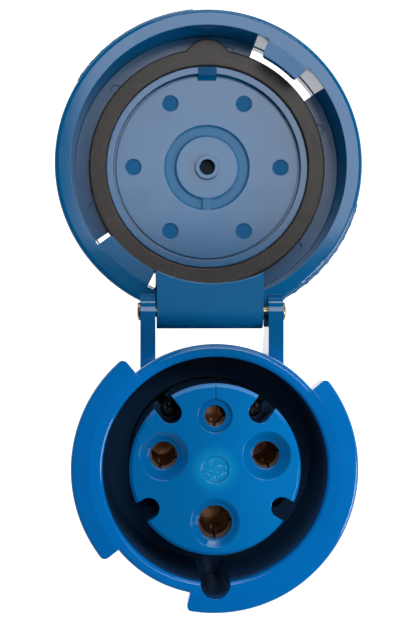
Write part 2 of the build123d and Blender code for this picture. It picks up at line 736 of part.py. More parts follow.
# Seal ring between the two housings
with BuildPart() as housing_seal:
    with BuildSketch(Plane.XY.offset(JOINT_Z + SEAL_RING_W)):
        Circle(SEAT_BORE_R)
        Circle(SPIGOT_R - SEAL_RING_T, mode=Mode.SUBTRACT)
    extrude(amount=SEAL_RING_W)
finish(housing_seal.part, "housing_seal")


# Housing screws: pan heads under the ears
with BuildPart() as housing_screws:
    for side in (1, -1):
        with BuildSketch(Plane.XY.offset(JOINT_Z - EAR_H)):
            with Locations((side * EAR_X, 0)):
                Circle(HOUSING_SCREW_HEAD_R)
        extrude(amount=-HOUSING_SCREW_HEAD_H)
        with BuildSketch(Plane.XY.offset(JOINT_Z - EAR_H)):
            with Locations((side * EAR_X, 0)):
                Circle(HOUSING_SCREW_R)
        extrude(amount=EAR_H + HOUSING_SCREW_GRIP)
        with BuildSketch(Plane.XY.offset(JOINT_Z - EAR_H - HOUSING_SCREW_HEAD_H)):
            with Locations((side * EAR_X, 0)):
                Rectangle(2 * CROSS_SPAN * HOUSING_SCREW_HEAD_R, CROSS_W)
                Rectangle(CROSS_W, 2 * CROSS_SPAN * HOUSING_SCREW_HEAD_R)
        extrude(amount=CROSS_DEPTH, mode=Mode.SUBTRACT)
finish(housing_screws.part, "housing_screws")


# Gland nut: fluted cup with the cord's hole in its floor
with BuildPart() as gland_nut:
    with BuildSketch():
        Circle(NUT_R)
    extrude(amount=NUT_H)
    chamfer(gland_nut.edges(), NUT_EDGE)
    with BuildSketch():
        with PolarLocations(NUT_R + FLUTE_R - FLUTE_CUT - NUT_EDGE / 2, NUT_FLUTES):
            Circle(FLUTE_R)
    extrude(amount=NUT_H, mode=Mode.SUBTRACT)
    with BuildSketch(Plane.XY.offset(NUT_FLOOR)):
        Circle(THREAD_R + THREAD_GAP)
    extrude(amount=NUT_H - NUT_FLOOR, mode=Mode.SUBTRACT)
    with BuildSketch():
        Circle(CORD_HOLE_R)
    extrude(amount=NUT_FLOOR, mode=Mode.SUBTRACT)
finish(gland_nut.part, "gland_nut")


# Slip ring that lets the nut turn without twisting the claw
with BuildPart() as gland_slip_ring:
    with BuildSketch(Plane.XY.offset(NUT_FLOOR)):
        Circle(THREAD_R)
        Circle(CORD_HOLE_R + GLAND_GAP, mode=Mode.SUBTRACT)
    extrude(amount=SLIP_RING_T)
finish(gland_slip_ring.part, "gland_slip_ring")


# Claw that grips the cord's sheath: a ring cut into fingers from above
with BuildPart() as gland_claw:
    claw_z = NUT_FLOOR + SLIP_RING_T
    with BuildSketch(Plane.XY.offset(claw_z)):
        Circle(THREAD_R - GLAND_GAP)
        Circle(CORD_HOLE_R + GLAND_GAP, mode=Mode.SUBTRACT)
    extrude(amount=THREAD_END_Z - claw_z - GLAND_GAP)
    with BuildSketch(Plane.XY.offset(claw_z + SLIP_RING_T)):
        with PolarLocations((CORD_HOLE_R + THREAD_R) / 2, CLAW_SLOTS):
            Rectangle(THREAD_R, CLAW_SLOT_W)
    extrude(amount=CLAW_H, mode=Mode.SUBTRACT)
finish(gland_claw.part, "gland_claw")


# Gland seal: rubber sleeve in the neck
with BuildPart() as gland_seal:
    with BuildSketch(Plane.XY.offset(THREAD_END_Z)):
        Circle(NECK_BORE_R - GLAND_GAP)
        Circle(CORD_HOLE_R + GLAND_GAP, mode=Mode.SUBTRACT)
    extrude(amount=GLAND_SEAL_H)
finish(gland_seal.part, "gland_seal")


# Hinge pin, its domed head on the left
with BuildPart() as hinge_pin:
    with BuildSketch(Plane.YZ.offset(-ARM_OUTER_X)):
        with Locations((HINGE_Y, HINGE_Z)):
            Circle(PIN_HEAD_R)
    extrude(amount=-PIN_HEAD_H)
    fillet(hinge_pin.edges().group_by(Axis.X)[0], PIN_DOME)
    with BuildSketch(Plane.YZ.offset(-ARM_OUTER_X)):
        with Locations((HINGE_Y, HINGE_Z)):
            Circle(PIN_R)
    extrude(amount=2 * ARM_OUTER_X + PIN_CAP_GRIP)
finish(hinge_pin.part, "hinge_pin")


# Press-on cap at the pin's right end
with BuildPart() as pin_cap:
    with BuildSketch(Plane.YZ.offset(ARM_OUTER_X)):
        with Locations((HINGE_Y, HINGE_Z)):
            Circle(PIN_HEAD_R)
    extrude(amount=PIN_CAP_GRIP + PIN_CAP_T)
    fillet(pin_cap.edges().group_by(Axis.X)[-1], PIN_DOME)
    with BuildSketch(Plane.YZ.offset(ARM_OUTER_X)):
        with Locations((HINGE_Y, HINGE_Z)):
            Circle(PIN_R)
    extrude(amount=PIN_CAP_GRIP, mode=Mode.SUBTRACT)
finish(pin_cap.part, "pin_cap")


# Hinge plate: disc with rib, groove and boss, neck past the cap's skirt, and barrel
groove_mid_r = (GROOVE_OUTER_R + GROOVE_INNER_R) / 2
disc_z = open_z(DISC_COVER)
with BuildPart() as hinge_plate:
    add(
        turned(
            [
                (0, open_z(PLATE_BACK_COVER)),
                (LID_PLATE_R, open_z(PLATE_BACK_COVER)),
                (LID_PLATE_R, open_z(GASKET_SEAT_COVER)),
                (RIB_OUTER_R, open_z(GASKET_SEAT_COVER)),
                (RIB_OUTER_R, open_z(RIB_COVER)),
                (RIB_INNER_R, open_z(RIB_COVER)),
                (RIB_INNER_R, disc_z - RIB_GROOVE_DEPTH),
                (RIB_INNER_R - RIB_GROOVE_W, disc_z - RIB_GROOVE_DEPTH),
                (RIB_INNER_R - RIB_GROOVE_W, disc_z),
                (GROOVE_OUTER_R, disc_z),
                (groove_mid_r + GROOVE_FLOOR_W / 2, disc_z - GROOVE_DEPTH),
                (groove_mid_r - GROOVE_FLOOR_W / 2, disc_z - GROOVE_DEPTH),
                (GROOVE_INNER_R, disc_z),
                (BOSS_R, disc_z),
                (BOSS_R, open_z(BOSS_COVER)),
                (0, open_z(BOSS_COVER)),
            ],
            0,
            LID_Y,
        )
    )
    # Hub on the back, on which the locking cap turns
    with BuildSketch(Plane.XY.offset(open_z(HUB_END_COVER))):
        with Locations((0, LID_Y)):
            Circle(HUB_R)
    extrude(amount=HUB_END_COVER - PLATE_BACK_COVER)
    # Seat under the gasket's lobe, and root of the neck
    with BuildSketch(Plane.XY.offset(open_z(PLATE_BACK_COVER))):
        with Locations((0, LID_Y + GASKET_LOBE_PLACE_R)):
            Circle(GASKET_LOBE_R)
    extrude(amount=PLATE_BACK_COVER - GASKET_SEAT_COVER)
    # Neck: curved wall inside the skirt, then a flat top to the barrel
    neck_top_z = HINGE_Z + KNUCKLE_R
    neck_w = BARREL_RIGHT_X - BARREL_LEFT_X
    neck_x = (BARREL_RIGHT_X + BARREL_LEFT_X) / 2
    with BuildSketch(Plane.XY.offset(open_z(PLATE_BACK_COVER))) as neck_wall:
        with Locations((0, LID_Y)):
            Circle(NECK_OUTER_R)
            Circle(NECK_INNER_R, mode=Mode.SUBTRACT)
        with Locations((neck_x, HINGE_Y + LID_ARM / 4)):
            Rectangle(neck_w, LID_ARM / 2, mode=Mode.INTERSECT)
    extrude(amount=neck_top_z - open_z(PLATE_BACK_COVER))
    with BuildSketch(Plane.XY.offset(neck_top_z - NECK_TOP_T)):
        with Locations((neck_x, HINGE_Y + LID_ARM / 4)):
            Rectangle(neck_w, LID_ARM / 2)
        with Locations((0, LID_Y)):
            Circle(NECK_INNER_R, mode=Mode.SUBTRACT)
    extrude(amount=NECK_TOP_T)
    with BuildSketch(Plane.YZ.offset(BARREL_LEFT_X)):
        with Locations((HINGE_Y, HINGE_Z)):
            Circle(KNUCKLE_R)
    extrude(amount=neck_w)
    # Bore for the pin
    with BuildSketch(Plane.YZ.offset(-ARM_INNER_X)):
        with Locations((HINGE_Y, HINGE_Z)):
            Circle(PIN_R + PIN_RUNNING)
    extrude(amount=2 * ARM_INNER_X, mode=Mode.SUBTRACT)
    # Tooth on the barrel's right end that meets the arm's stop
    with BuildSketch(Plane.YZ.offset(BARREL_RIGHT_X)):
        with Locations((HINGE_Y, HINGE_Z)):
            tooth_start = STOP_ANGLE + STOP_GAP
            add(ring_sector(STOP_INNER_R, STOP_OUTER_R, tooth_start, tooth_start + STOP_ARC))
    extrude(amount=STOP_T)
    # Locating block on the rib at twelve o'clock
    block_y = LID_Y + RIB_OUTER_R
    with BuildSketch(Plane.YZ.offset(-KEY_BLOCK_W / 2)):
        with BuildLine():
            Polyline(
                (block_y, disc_z),
                (block_y, open_z(RIB_COVER)),
                (block_y - RIB_OUTER_R + RIB_INNER_R - KEY_BLOCK_FLAT, open_z(RIB_COVER)),
                (block_y - RIB_OUTER_R + RIB_INNER_R - KEY_BLOCK_FLAT - KEY_BLOCK_SLOPE, disc_z),
                close=True,
            )
        make_face()
    extrude(amount=KEY_BLOCK_W)
    # Tab that bridges the groove at six o'clock
    with BuildSketch(Plane.XY.offset(disc_z - GROOVE_DEPTH)):
        with Locations((0, LID_Y - groove_mid_r)):
            Rectangle(GROOVE_TAB_W, GROOVE_OUTER_R - GROOVE_INNER_R)
    extrude(amount=GROOVE_TAB_H)
    # Bore in the boss, and the pivot screw's blind hole in the hub
    with BuildSketch(Plane.XY.offset(open_z(BOSS_COVER))):
        with Locations((0, LID_Y)):
            Circle(BOSS_BORE_R)
    extrude(amount=-BOSS_BORE_DEPTH, mode=Mode.SUBTRACT)
    with BuildSketch(Plane.XY.offset(open_z(HUB_END_COVER))):
        with Locations((0, LID_Y)):
            Circle(PIVOT_SCREW_R)
    extrude(amount=PIVOT_HOLE_DEPTH, mode=Mode.SUBTRACT)
    # Ejector marks
    with BuildSketch(Plane.XY.offset(disc_z)):
        with Locations((0, LID_Y)):
            with PolarLocations(PLATE_MARK_CIRCLE_R, 6):
                Circle(PLATE_MARK_R)
    extrude(amount=-MARK_DEPTH, mode=Mode.SUBTRACT)
finish(hinge_plate.part, "hinge_plate")


# Lid gasket: ring with a lobe that closes the keyway
with BuildPart() as lid_gasket:
    with BuildSketch(Plane.XY.offset(open_z(GASKET_SEAT_COVER))):
        with Locations((0, LID_Y)):
            Circle(GASKET_OUTER_R)
        with Locations((0, LID_Y + GASKET_LOBE_PLACE_R)):
            Circle(GASKET_LOBE_R)
        with Locations((0, LID_Y)):
            Circle(GASKET_INNER_R, mode=Mode.SUBTRACT)
    extrude(amount=GASKET_SEAT_COVER - GASKET_COVER)
    fillet(lid_gasket.edges().group_by(Axis.Z)[-1], GASKET_EDGE)
finish(lid_gasket.part, "lid_gasket")


# Locking cap: turning ring with skirt, floor, two lugs, their slots and two grip pads
with BuildPart() as locking_cap:
    with BuildSketch(half_plane(0, LID_Y)) as wall:
        with BuildLine():
            Polyline(
                (HUB_R + HUB_RUNNING, open_z(CAP_FLOOR_COVER)),
                (CAP_BORE_R - CAP_BORE_DRAFT, open_z(CAP_FLOOR_COVER)),
                (CAP_BORE_R, open_z(CAP_RIM_COVER)),
                (CAP_R, open_z(CAP_RIM_COVER)),
                (CAP_BACK_R, open_z(CAP_BACK_COVER)),
                (CAP_DISH_R, open_z(CAP_BACK_COVER)),
                (CAP_DISH_R - CAP_EDGE, open_z(CAP_FLOOR_COVER + CAP_FLOOR_T)),
                (HUB_R + HUB_RUNNING, open_z(CAP_FLOOR_COVER + CAP_FLOOR_T)),
                close=True,
            )
        make_face()
        outside = wall.vertices().sort_by(Axis.X)
        fillet(outside[-1], CAP_EDGE)
        outside = wall.vertices().group_by(Axis.Y)[0]
        fillet(outside.sort_by(Axis.X)[-1], CAP_BACK_EDGE)
    revolve(axis=LID_AXIS)
    # Grip pads, with ribs
    for start, end in PAD_ANGLES:
        with BuildSketch(Plane.XY.offset(open_z(CAP_BACK_COVER - CAP_BACK_EDGE))):
            with Locations((0, LID_Y)):
                add(ring_sector(CAP_BORE_R + CAP_EDGE, CAP_R + PAD_RISE / 2, start, end))
        extrude(amount=CAP_BACK_COVER - CAP_BACK_EDGE - CAP_RIM_COVER - CAP_EDGE)
        with BuildSketch(Plane.XY.offset(open_z(CAP_BACK_COVER - CAP_BACK_EDGE))):
            with Locations((0, LID_Y)):
                for step in range(PAD_RIBS):
                    angle = start + (end - start) * (step + 0.5) / PAD_RIBS
                    with Locations(polar(CAP_R - PAD_RISE, angle)):
                        Rectangle(4 * PAD_RISE, PAD_RIB_W, rotation=angle)
        extrude(amount=CAP_BACK_COVER - CAP_BACK_EDGE - CAP_RIM_COVER - 2 * CAP_EDGE)
    # Lugs
    with BuildSketch(Plane.XY.offset(open_z(CAP_RIM_COVER + LUG_T))):
        with Locations((0, LID_Y)):
            for start, end in LUG_ANGLES:
                outer_r = CAP_BORE_R + CAP_EDGE
                add(ring_sector(LUG_INNER_R, outer_r, start, end, inner_corner=LUG_CORNER))
    extrude(amount=LUG_T)
    # Slots in the floor under the lugs
    with BuildSketch(Plane.XY.offset(open_z(CAP_FLOOR_COVER + CAP_FLOOR_T))):
        with Locations((0, LID_Y)):
            for start, end in SLOT_ANGLES:
                add(ring_sector(LUG_INNER_R, SLOT_OUTER_R, start, end))
    extrude(amount=CAP_FLOOR_T, mode=Mode.SUBTRACT)
    with BuildSketch(Plane.XY.offset(open_z(CAP_BACK_COVER))):
        with Locations((0, LID_Y)):
            for start, end in SLOT_ANGLES:
                add(ring_sector(LUG_INNER_R, SLOT_OUTER_R, start, end))
    extrude(amount=CAP_BACK_COVER - CAP_FLOOR_COVER, mode=Mode.SUBTRACT)
    # Ejector marks on the floor
    with BuildSketch(Plane.XY.offset(open_z(CAP_FLOOR_COVER))):
        with Locations((0, LID_Y)):
            with PolarLocations(CAP_MARK_CIRCLE_R, 6, start_angle=CAP_MARK_START):
                Circle(CAP_MARK_R)
    extrude(amount=-MARK_DEPTH, mode=Mode.SUBTRACT)
finish(locking_cap.part, "locking_cap")


# Pivot washer on the hub's end
washer_top = open_z(HUB_END_COVER)
with BuildPart() as pivot_washer:
    with BuildSketch(Plane.XY.offset(washer_top)):
        with Locations((0, LID_Y)):
            Circle(PIVOT_WASHER_R)
            Circle(PIVOT_SCREW_R + GLAND_GAP, mode=Mode.SUBTRACT)
    extrude(amount=-PIVOT_WASHER_T)
finish(pivot_washer.part, "pivot_washer")


# Pivot screw, driven in from the back of the lid
with BuildPart() as pivot_screw:
    with BuildSketch(Plane.XY.offset(washer_top - PIVOT_WASHER_T)):
        with Locations((0, LID_Y)):
            Circle(PIVOT_SCREW_HEAD_R)
    extrude(amount=-PIVOT_SCREW_HEAD_H)
    with BuildSketch(Plane.XY.offset(washer_top - PIVOT_WASHER_T)):
        with Locations((0, LID_Y)):
            Circle(PIVOT_SCREW_R)
    extrude(amount=PIVOT_WASHER_T + PIVOT_HOLE_DEPTH - PIVOT_SCREW_TIP)
    with BuildSketch(Plane.XY.offset(washer_top - PIVOT_WASHER_T - PIVOT_SCREW_HEAD_H)):
        with Locations((0, LID_Y)):
            Rectangle(2 * CROSS_SPAN * PIVOT_SCREW_HEAD_R, CROSS_W)
            Rectangle(CROSS_W, 2 * CROSS_SPAN * PIVOT_SCREW_HEAD_R)
    extrude(amount=CROSS_DEPTH, mode=Mode.SUBTRACT)
finish(pivot_screw.part, "pivot_screw")
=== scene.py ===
from math import cos, pi, radians, sin

import bmesh
import bpy
from bpy.props import FloatProperty, FloatVectorProperty, IntProperty, PointerProperty
from mathutils import Matrix, Vector


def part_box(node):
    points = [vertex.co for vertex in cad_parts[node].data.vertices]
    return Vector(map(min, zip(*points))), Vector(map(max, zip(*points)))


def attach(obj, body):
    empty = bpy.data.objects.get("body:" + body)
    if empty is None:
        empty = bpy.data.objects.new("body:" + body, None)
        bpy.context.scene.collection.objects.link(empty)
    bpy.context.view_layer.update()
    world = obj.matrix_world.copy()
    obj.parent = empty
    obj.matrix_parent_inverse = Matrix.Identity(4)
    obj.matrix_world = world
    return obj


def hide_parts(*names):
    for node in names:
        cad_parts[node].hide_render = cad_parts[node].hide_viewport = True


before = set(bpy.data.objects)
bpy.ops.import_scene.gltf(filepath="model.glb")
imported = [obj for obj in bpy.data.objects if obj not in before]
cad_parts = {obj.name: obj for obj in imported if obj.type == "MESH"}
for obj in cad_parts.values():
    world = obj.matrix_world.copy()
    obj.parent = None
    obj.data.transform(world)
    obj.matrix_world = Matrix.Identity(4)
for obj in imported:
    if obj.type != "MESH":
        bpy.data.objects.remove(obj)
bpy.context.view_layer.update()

bl_info = {
    "name": "Industrial Cable Socket",
    "version": (1, 0, 0),
    "blender": (4, 5, 0),
    "location": "3D View > Sidebar > Socket",
    "description": "Finishes, screws, threads and studio for an in-line socket with a hinged locking lid",
    "category": "Object",
}

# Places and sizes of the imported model, in metres, that the pieces and finishes are set out from
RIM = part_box("front_housing")[1].z
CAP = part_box("locking_cap")
LID_CENTRE = (CAP[0] + CAP[1]) / 2
CARRIER_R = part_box("contact_carrier")[1].x
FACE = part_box("contact_carrier")[1].z
BORE_R = CARRIER_R + 0.009
BORE_DEPTH = 0.052
KEY_CENTRE = (0.0, -(BORE_R + 0.0006))
KEY_R = 0.005
MARK_R = 0.003
MARK_CIRCLE_R = 0.0277
HOLE_R = 0.0029
HOLE_TOP = 0.1742
KEY_BLOCK_HALF = 0.00345
KEY_BLOCK_Y = 0.0332
NECK_REACH = 0.0445
CAP_FLOOR_Z = 0.169
LUG_REACH_R = 0.0498
# Span in Y over which the painted shade near the hinge comes in
HINGE_SHADE = (0.031, 0.045)
# Span in radius over which the painted glare round the gate fades out
GATE_FADE = (0.0095, 0.003)
GATE_MARK_R = 0.0056
SLEEVE_MOUTH = (0.013, 0.019)
SLEEVE_BARE = (0.012, 0.018)

# Carrier screws: (distance from the axis, angle) of each
CARRIER_SCREWS = ((0.0243, 52.1), (0.0243, 128.1), (0.026, 210.2), (0.026, 329.9))

# Screws: head radius, head height, shank radius, half width and depth of the cross
CARRIER_SCREW = (0.003, 0.0024, 0.00172, 0.00052, 0.0012)
HOUSING_SCREW = (0.004, 0.003, 0.00245, 0.0007, 0.0015)
PIVOT_SCREW = (0.0038, 0.0024, 0.00195, 0.00065, 0.0013)

# Gland nut: cord hole, wall, floor and edge
CORD_HOLE_R = 0.0185
NUT_WALL = 0.0051
NUT_FLOOR = 0.005
NUT_EDGE = 0.0016
NUT_CORNER = 0.0006
NUT_CORNER_DROP = 0.0004
THREAD_INSET = 0.0054
THREAD_BELOW = 0.004
THREAD_ABOVE = 0.0105

# Lamps: name, place, what it looks at, size and the setting with its radiance
PANELS = (
    ("overhead_panel", (0.22, 0.445, 1.38), None, (0.62, 0.60), "key"),
    ("side_panel", (0.80, -0.25, 0.72), (0, 0.05, 0.2), (0.40, 0.40), "side"),
    ("low_strip", (0.10, 0.90, 0.60), (0, 0.06, 0.2), (0.70, 0.20), "strip"),
)
CAMERA_X = -0.027
AIM_X = -0.0029
VIEW_Y = 0.0514
FLOOR_REACH = 3.0
FLOOR_WHITE = 0.8
GROOVE = (0.0116, 0.016)


def linear(red, green, blue):
    """Linear colour of a display colour given in 0 to 255."""
    levels = [value / 255 for value in (red, green, blue)]
    return [v / 12.92 if v <= 0.04045 else ((v + 0.055) / 1.055) ** 2.4 for v in levels]


def colour(name, description, display):
    """Colour property with its default given as a display colour."""
    return FloatVectorProperty(
        name=name,
        description=description,
        subtype="COLOR",
        size=3,
        min=0.0,
        max=1.0,
        default=linear(*display),
    )


def share(name, description, default):
    """Property that runs from 0 to 1."""
    return FloatProperty(
        name=name, description=description, min=0.0, max=1.0, default=default, subtype="FACTOR"
    )


def length(name, description, default):
    """Length property, in metres."""
    return FloatProperty(
        name=name, description=description, min=0.0, default=default, subtype="DISTANCE", unit="LENGTH"
    )


class SocketColours(bpy.types.PropertyGroup):
    """Colours of the mouldings, the metal pieces and the rubber, among them painted shades and painted
    highlights
    """

    housing: colour("Housing", "Front and rear housing", (0, 104, 180))
    # Painted shade: the housing is drawn darker and duller near the hinge, for the shade of the lid over the
    # arms and the shroud's top
    hinge: colour("Hinge blue", "Duller housing blue near the hinge", (4, 80, 124))
    insert: colour("Insert", "Contact carrier", (0, 114, 186))
    # Painted shade: the left side of the carrier is drawn deeper blue, away from the light on the right
    shaded: colour("Deeper insert blue", "Left side of the contact carrier", (0, 94, 156))
    lid: colour("Lid", "Locking cap, hinge plate and barrel", (0, 88, 138))
    rub: colour("Rubbed blue", "Rubbed, greyed edges and scratches", (62, 128, 178))
    # Painted highlight: the paler blue round the insert's gate stands in for the glare on its middle
    gate_glare: colour("Blush", "Paler plastic round the insert's gate", (14, 142, 196))
    rubber: colour("Rubber", "Gasket and seals", (54, 49, 46))
    brass: colour("Brass", "Contact sleeves", (205, 160, 120))
    steel: colour("Steel", "Screws and springs", (176, 176, 174))
    # Painted shade: the colour that the deep gaps round the insert are drawn in, for the shade that falls there
    gap: colour("Gap dirt", "Dirt in the deep gaps round the insert", (51, 76, 106))
    # Painted shade: the insert's screws sit deep in notches, and their steel is drawn darker for the shade
    # there
    shaded_steel: colour("Dark steel", "The insert's screws", (96, 96, 98))
    spring: colour("Spring tarnish", "Tarnish on the springs and terminal screws", (90, 88, 84))
    tarnish: colour("Tarnish", "Tarnish on the contact sleeves", (150, 104, 66))
    pilot: colour("Pilot brass", "Pilot contact sleeve", (226, 182, 150))
    # Painted highlight: pale curls in the gate mark, for the glints on its swirls
    swirl_glints: colour("Gate swirl", "Pale curls in the insert's gate mark", (120, 196, 226))
    # Painted shade: the cones and hollows below the insert's face are drawn darker blue
    cone_shade: colour("Cone blue", "Cones round the contact sleeves", (0, 84, 142))
    # Painted highlight: the bright band on the upper half of the insert's edge, for the sky it reflects
    edge_highlight: colour("Light edge", "Bright edge along the insert's upper half", (96, 154, 214))
    screw_dirt: colour("Screw dirt", "Dirt on the steel screws", (88, 84, 78))
    # Dirt on the insert's screws, drawn darker as painted shade
    shaded_dirt: colour("Dark dirt", "Dirt on the insert's screws", (44, 42, 40))
    pin_dirt: colour("Pin dirt", "Dirt on the hinge pin", (120, 98, 62))
    inner_rub: colour("Rubbed inner", "Rubbed edges of the inner mouldings", (92, 94, 98))
    speck: colour("Rubber specks", "Pale specks on the rubber", (120, 118, 114))
    pin: colour("Pin", "Passivated hinge pin and its cap", (190, 172, 132))
    inner: colour("Inner moulding", "Retainer and gland pieces", (38, 42, 48))


class SocketWear(bpy.types.PropertyGroup):
    """Use and finish of the surfaces, and how dark the painted shade of the deep gaps is"""

    edge: length("Edge round", "Radius that the mouldings' edges are softened by", 0.00035)
    rubbed: share("Rubbed edges", "How far the edges are greyed", 0.25)
    grain: length("Grain", "Height of the fine grain of the mouldings", 0.000003)
    gloss: share("Roughness", "Roughness of the mouldings", 0.08)
    dust: share("Dust", "Dust that lies on the faces that look up", 0.015)
    # Painted shade: how strongly the deep gaps are drawn dark
    gap_shade: share("Grime", "How dark the deep gaps are", 0.82)


class SocketDetails(bpy.types.PropertyGroup):
    """Sizes of the repeated details"""

    thread_pitch: length("Thread pitch", "Rise of the neck's thread in one turn", 0.002)
    thread_height: length("Thread height", "How far the thread stands from the neck", 0.0008)
    nut_flutes: IntProperty(
        name="Nut flutes", description="Finger grooves round the gland nut", default=18, min=6, max=40
    )
    nut_flute_depth: length("Flute depth", "Depth of the gland nut's finger grooves", 0.0011)


class SocketStage(bpy.types.PropertyGroup):
    """Camera and light"""

    distance: length("Camera distance", "Camera height over the front rim", 0.5)
    lens: FloatProperty(name="Lens", description="Focal length", default=84.6, min=10.0, unit="CAMERA")
    key: FloatProperty(name="Key light", description="Radiance of the overhead panel", default=4.4, min=0.0)
    side: FloatProperty(name="Side light", description="Radiance of the right panel", default=10.0, min=0.0)
    strip: FloatProperty(name="Strip", description="Radiance of the strip behind the lid", default=5.0, min=0.0)
    sky: share("Room light", "Strength of the even light from all round", 0.4)
    mirrored: share("Mirrored room", "Brightness of the room in reflections", 0.01)


class Finish:
    """A node material under construction."""

    def __init__(self, name):
        self.material = bpy.data.materials.new(name)
        self.material.use_nodes = True
        self.tree = self.material.node_tree
        self.tree.nodes.clear()
        self.shader = self.add("ShaderNodeBsdfPrincipled")
        output = self.add("ShaderNodeOutputMaterial")
        self.tree.links.new(self.shader.outputs["BSDF"], output.inputs["Surface"])
        self.place = self.add("ShaderNodeTexCoord").outputs["Object"]

    def add(self, kind, sockets=None, **settings):
        """Node with settings; sockets maps an input's name or place to a value or an output."""
        node = self.tree.nodes.new(kind)
        for key, value in settings.items():
            setattr(node, key, value)
        for key, value in (sockets or {}).items():
            self.feed(node.inputs[key], value)
        return node

    def feed(self, socket, value):
        """Sets a socket to a value, or links an output to it."""
        if isinstance(value, bpy.types.NodeSocket):
            self.tree.links.new(value, socket)
        else:
            socket.default_value = value

    def maths(self, operation, *values, clamp=False):
        """Output of a Math node."""
        node = self.add("ShaderNodeMath", operation=operation, use_clamp=clamp)
        for socket, value in zip(node.inputs, values):
            self.feed(socket, value)
        return node.outputs[0]

    def mix(self, factor, first, second, blend="MIX"):
        """Output of a colour mix."""
        node = self.add("ShaderNodeMix", data_type="RGBA", blend_type=blend)
        self.feed(node.inputs[0], factor)
        self.feed(node.inputs[6], first)
        self.feed(node.inputs[7], second)
        return node.outputs[2]

    def ramp(self, value, low, high):
        """Value carried from low..high to 0..1, with a soft start and end."""
        node = self.add(
            "ShaderNodeMapRange",
            {"Value": value, "From Min": low, "From Max": high},
            interpolation_type="SMOOTHSTEP",
        )
        return node.outputs["Result"]

    def noise(self, scale, detail=3.0, rough=0.5, stretch=None, distortion=0.0):
        """Noise on the piece, with a scale per metre."""
        place = self.place
        if stretch:
            place = self.add("ShaderNodeMapping", {"Vector": place, "Scale": stretch}).outputs[0]
        sockets = {
            "Vector": place,
            "Scale": scale,
            "Detail": detail,
            "Roughness": rough,
            "Distortion": distortion,
        }
        return self.add("ShaderNodeTexNoise", sockets).outputs["Fac"]

    def edges(self, radius):
        """(mask of the edges, softened normal)."""
        soft = self.add("ShaderNodeBevel", {"Radius": radius}, samples=6).outputs["Normal"]
        true = self.add("ShaderNodeNewGeometry").outputs["Normal"]
        dot = self.add("ShaderNodeVectorMath", {0: soft, 1: true}, operation="DOT_PRODUCT").outputs["Value"]
        return self.ramp(dot, 0.985, 0.86), soft

    def facing_up(self):
        """1 on faces that look up at rest, 0 on walls."""
        normal = self.add("ShaderNodeNewGeometry").outputs["Normal"]
        up = self.add("ShaderNodeSeparateXYZ", {0: normal}).outputs["Z"]
        return self.ramp(up, 0.75, 0.98)

    def height(self):
        """Height over the table."""
        return self.add("ShaderNodeSeparateXYZ", {0: self.place}).outputs["Z"]

    def about(self, centre):
        """Place relative to the upright line through centre, laid flat."""
        flat = self.add("ShaderNodeMapping", {"Vector": self.place}, vector_type="POINT")
        flat.inputs["Location"].default_value = (-centre[0], -centre[1], 0)
        flat.inputs["Scale"].default_value = (1, 1, 0)
        return flat.outputs[0]

    def round_about(self, centre):
        """Distance from the upright line through centre."""
        return self.add("ShaderNodeVectorMath", {0: self.about(centre)}, operation="LENGTH").outputs["Value"]

    def within(self, centre, radius, soft=0.0004):
        """Mask of the upright cylinder of a radius about centre."""
        return self.ramp(self.round_about(centre), radius, radius - soft)

    def six_spots(self, centre, circle_r, radius):
        """Mask of six round spots on a circle about centre, the first towards +X."""
        x, y = self.split(centre)
        around = self.maths("ARCTAN2", y, x)
        step = pi / 3
        turned = self.maths("FLOORED_MODULO", self.maths("ADD", around, step / 2), step)
        folded = self.maths("SUBTRACT", turned, step / 2)
        reach = self.round_about(centre)
        across = self.maths("SUBTRACT", self.maths("MULTIPLY", reach, self.maths("COSINE", folded)), circle_r)
        along = self.maths("MULTIPLY", reach, self.maths("SINE", folded))
        squares = [self.maths("POWER", part, 2) for part in (across, along)]
        away = self.maths("SQRT", self.maths("ADD", *squares))
        return self.ramp(away, radius, radius - 0.0003)

    def split(self, centre=(0, 0)):
        """(X, Y) outputs of the place relative to the upright line through centre."""
        parts = self.add("ShaderNodeSeparateXYZ", {0: self.about(centre)})
        return parts.outputs["X"], parts.outputs["Y"]

    def times(self, *values):
        """Product of masks and numbers."""
        product = values[0]
        for value in values[1:]:
            product = self.maths("MULTIPLY", product, value)
        return product

    def scratches(self, scale, stretch, width=0.012):
        """Mask of fine lines that run one way."""
        lines = self.noise(scale, 2.0, 0.6, stretch, 0.6)
        middle = self.maths("ABSOLUTE", self.maths("SUBTRACT", lines, 0.5))
        return self.ramp(middle, width, 0.0)

    def bump(self, height, distance, normal=None, strength=1.0):
        """Normal with a height pattern on it."""
        sockets = {"Strength": strength, "Distance": distance, "Height": height}
        node = self.add("ShaderNodeBump", sockets)
        if normal is not None:
            self.feed(node.inputs["Normal"], normal)
        return node.outputs["Normal"]

    def set(self, **sockets):
        """Sets or links the shader's sockets, named with _ for a space."""
        for key, value in sockets.items():
            self.feed(self.shader.inputs[key.replace("_", " ")], value)


def shade(rgb, factor):
    """Colour made lighter or darker, with its alpha."""
    return [min(1.0, value * factor) for value in rgb] + [1.0]


def bore_shade(f):
    """Mask of the gap inside the shroud and its keyway, below the rim's round edge, which is drawn dark as
    painted shade.
    """
    inside = f.within((0, 0), BORE_R + 0.0005)
    key = f.within(KEY_CENTRE, KEY_R + 0.0005)
    below = f.ramp(f.height(), RIM - 0.001, RIM - 0.005)
    above = f.ramp(f.height(), RIM - BORE_DEPTH - 0.0005, RIM - BORE_DEPTH)
    return f.times(f.maths("MAXIMUM", inside, key), below, above)


def carrier_shade(f):
    """Mask of the carrier's outer wall, notches and holes, below the contacts' cones, which is drawn dark as
    painted shade.
    """
    wall = f.ramp(f.round_about((0, 0)), CARRIER_R - 0.0006, CARRIER_R - 0.0001)
    edge = f.ramp(f.height(), RIM - 0.0026, RIM - 0.0045)
    deep = f.ramp(f.height(), RIM - 0.0048, RIM - 0.0075)
    return f.maths("MAXIMUM", f.maths("MULTIPLY", wall, edge), deep)


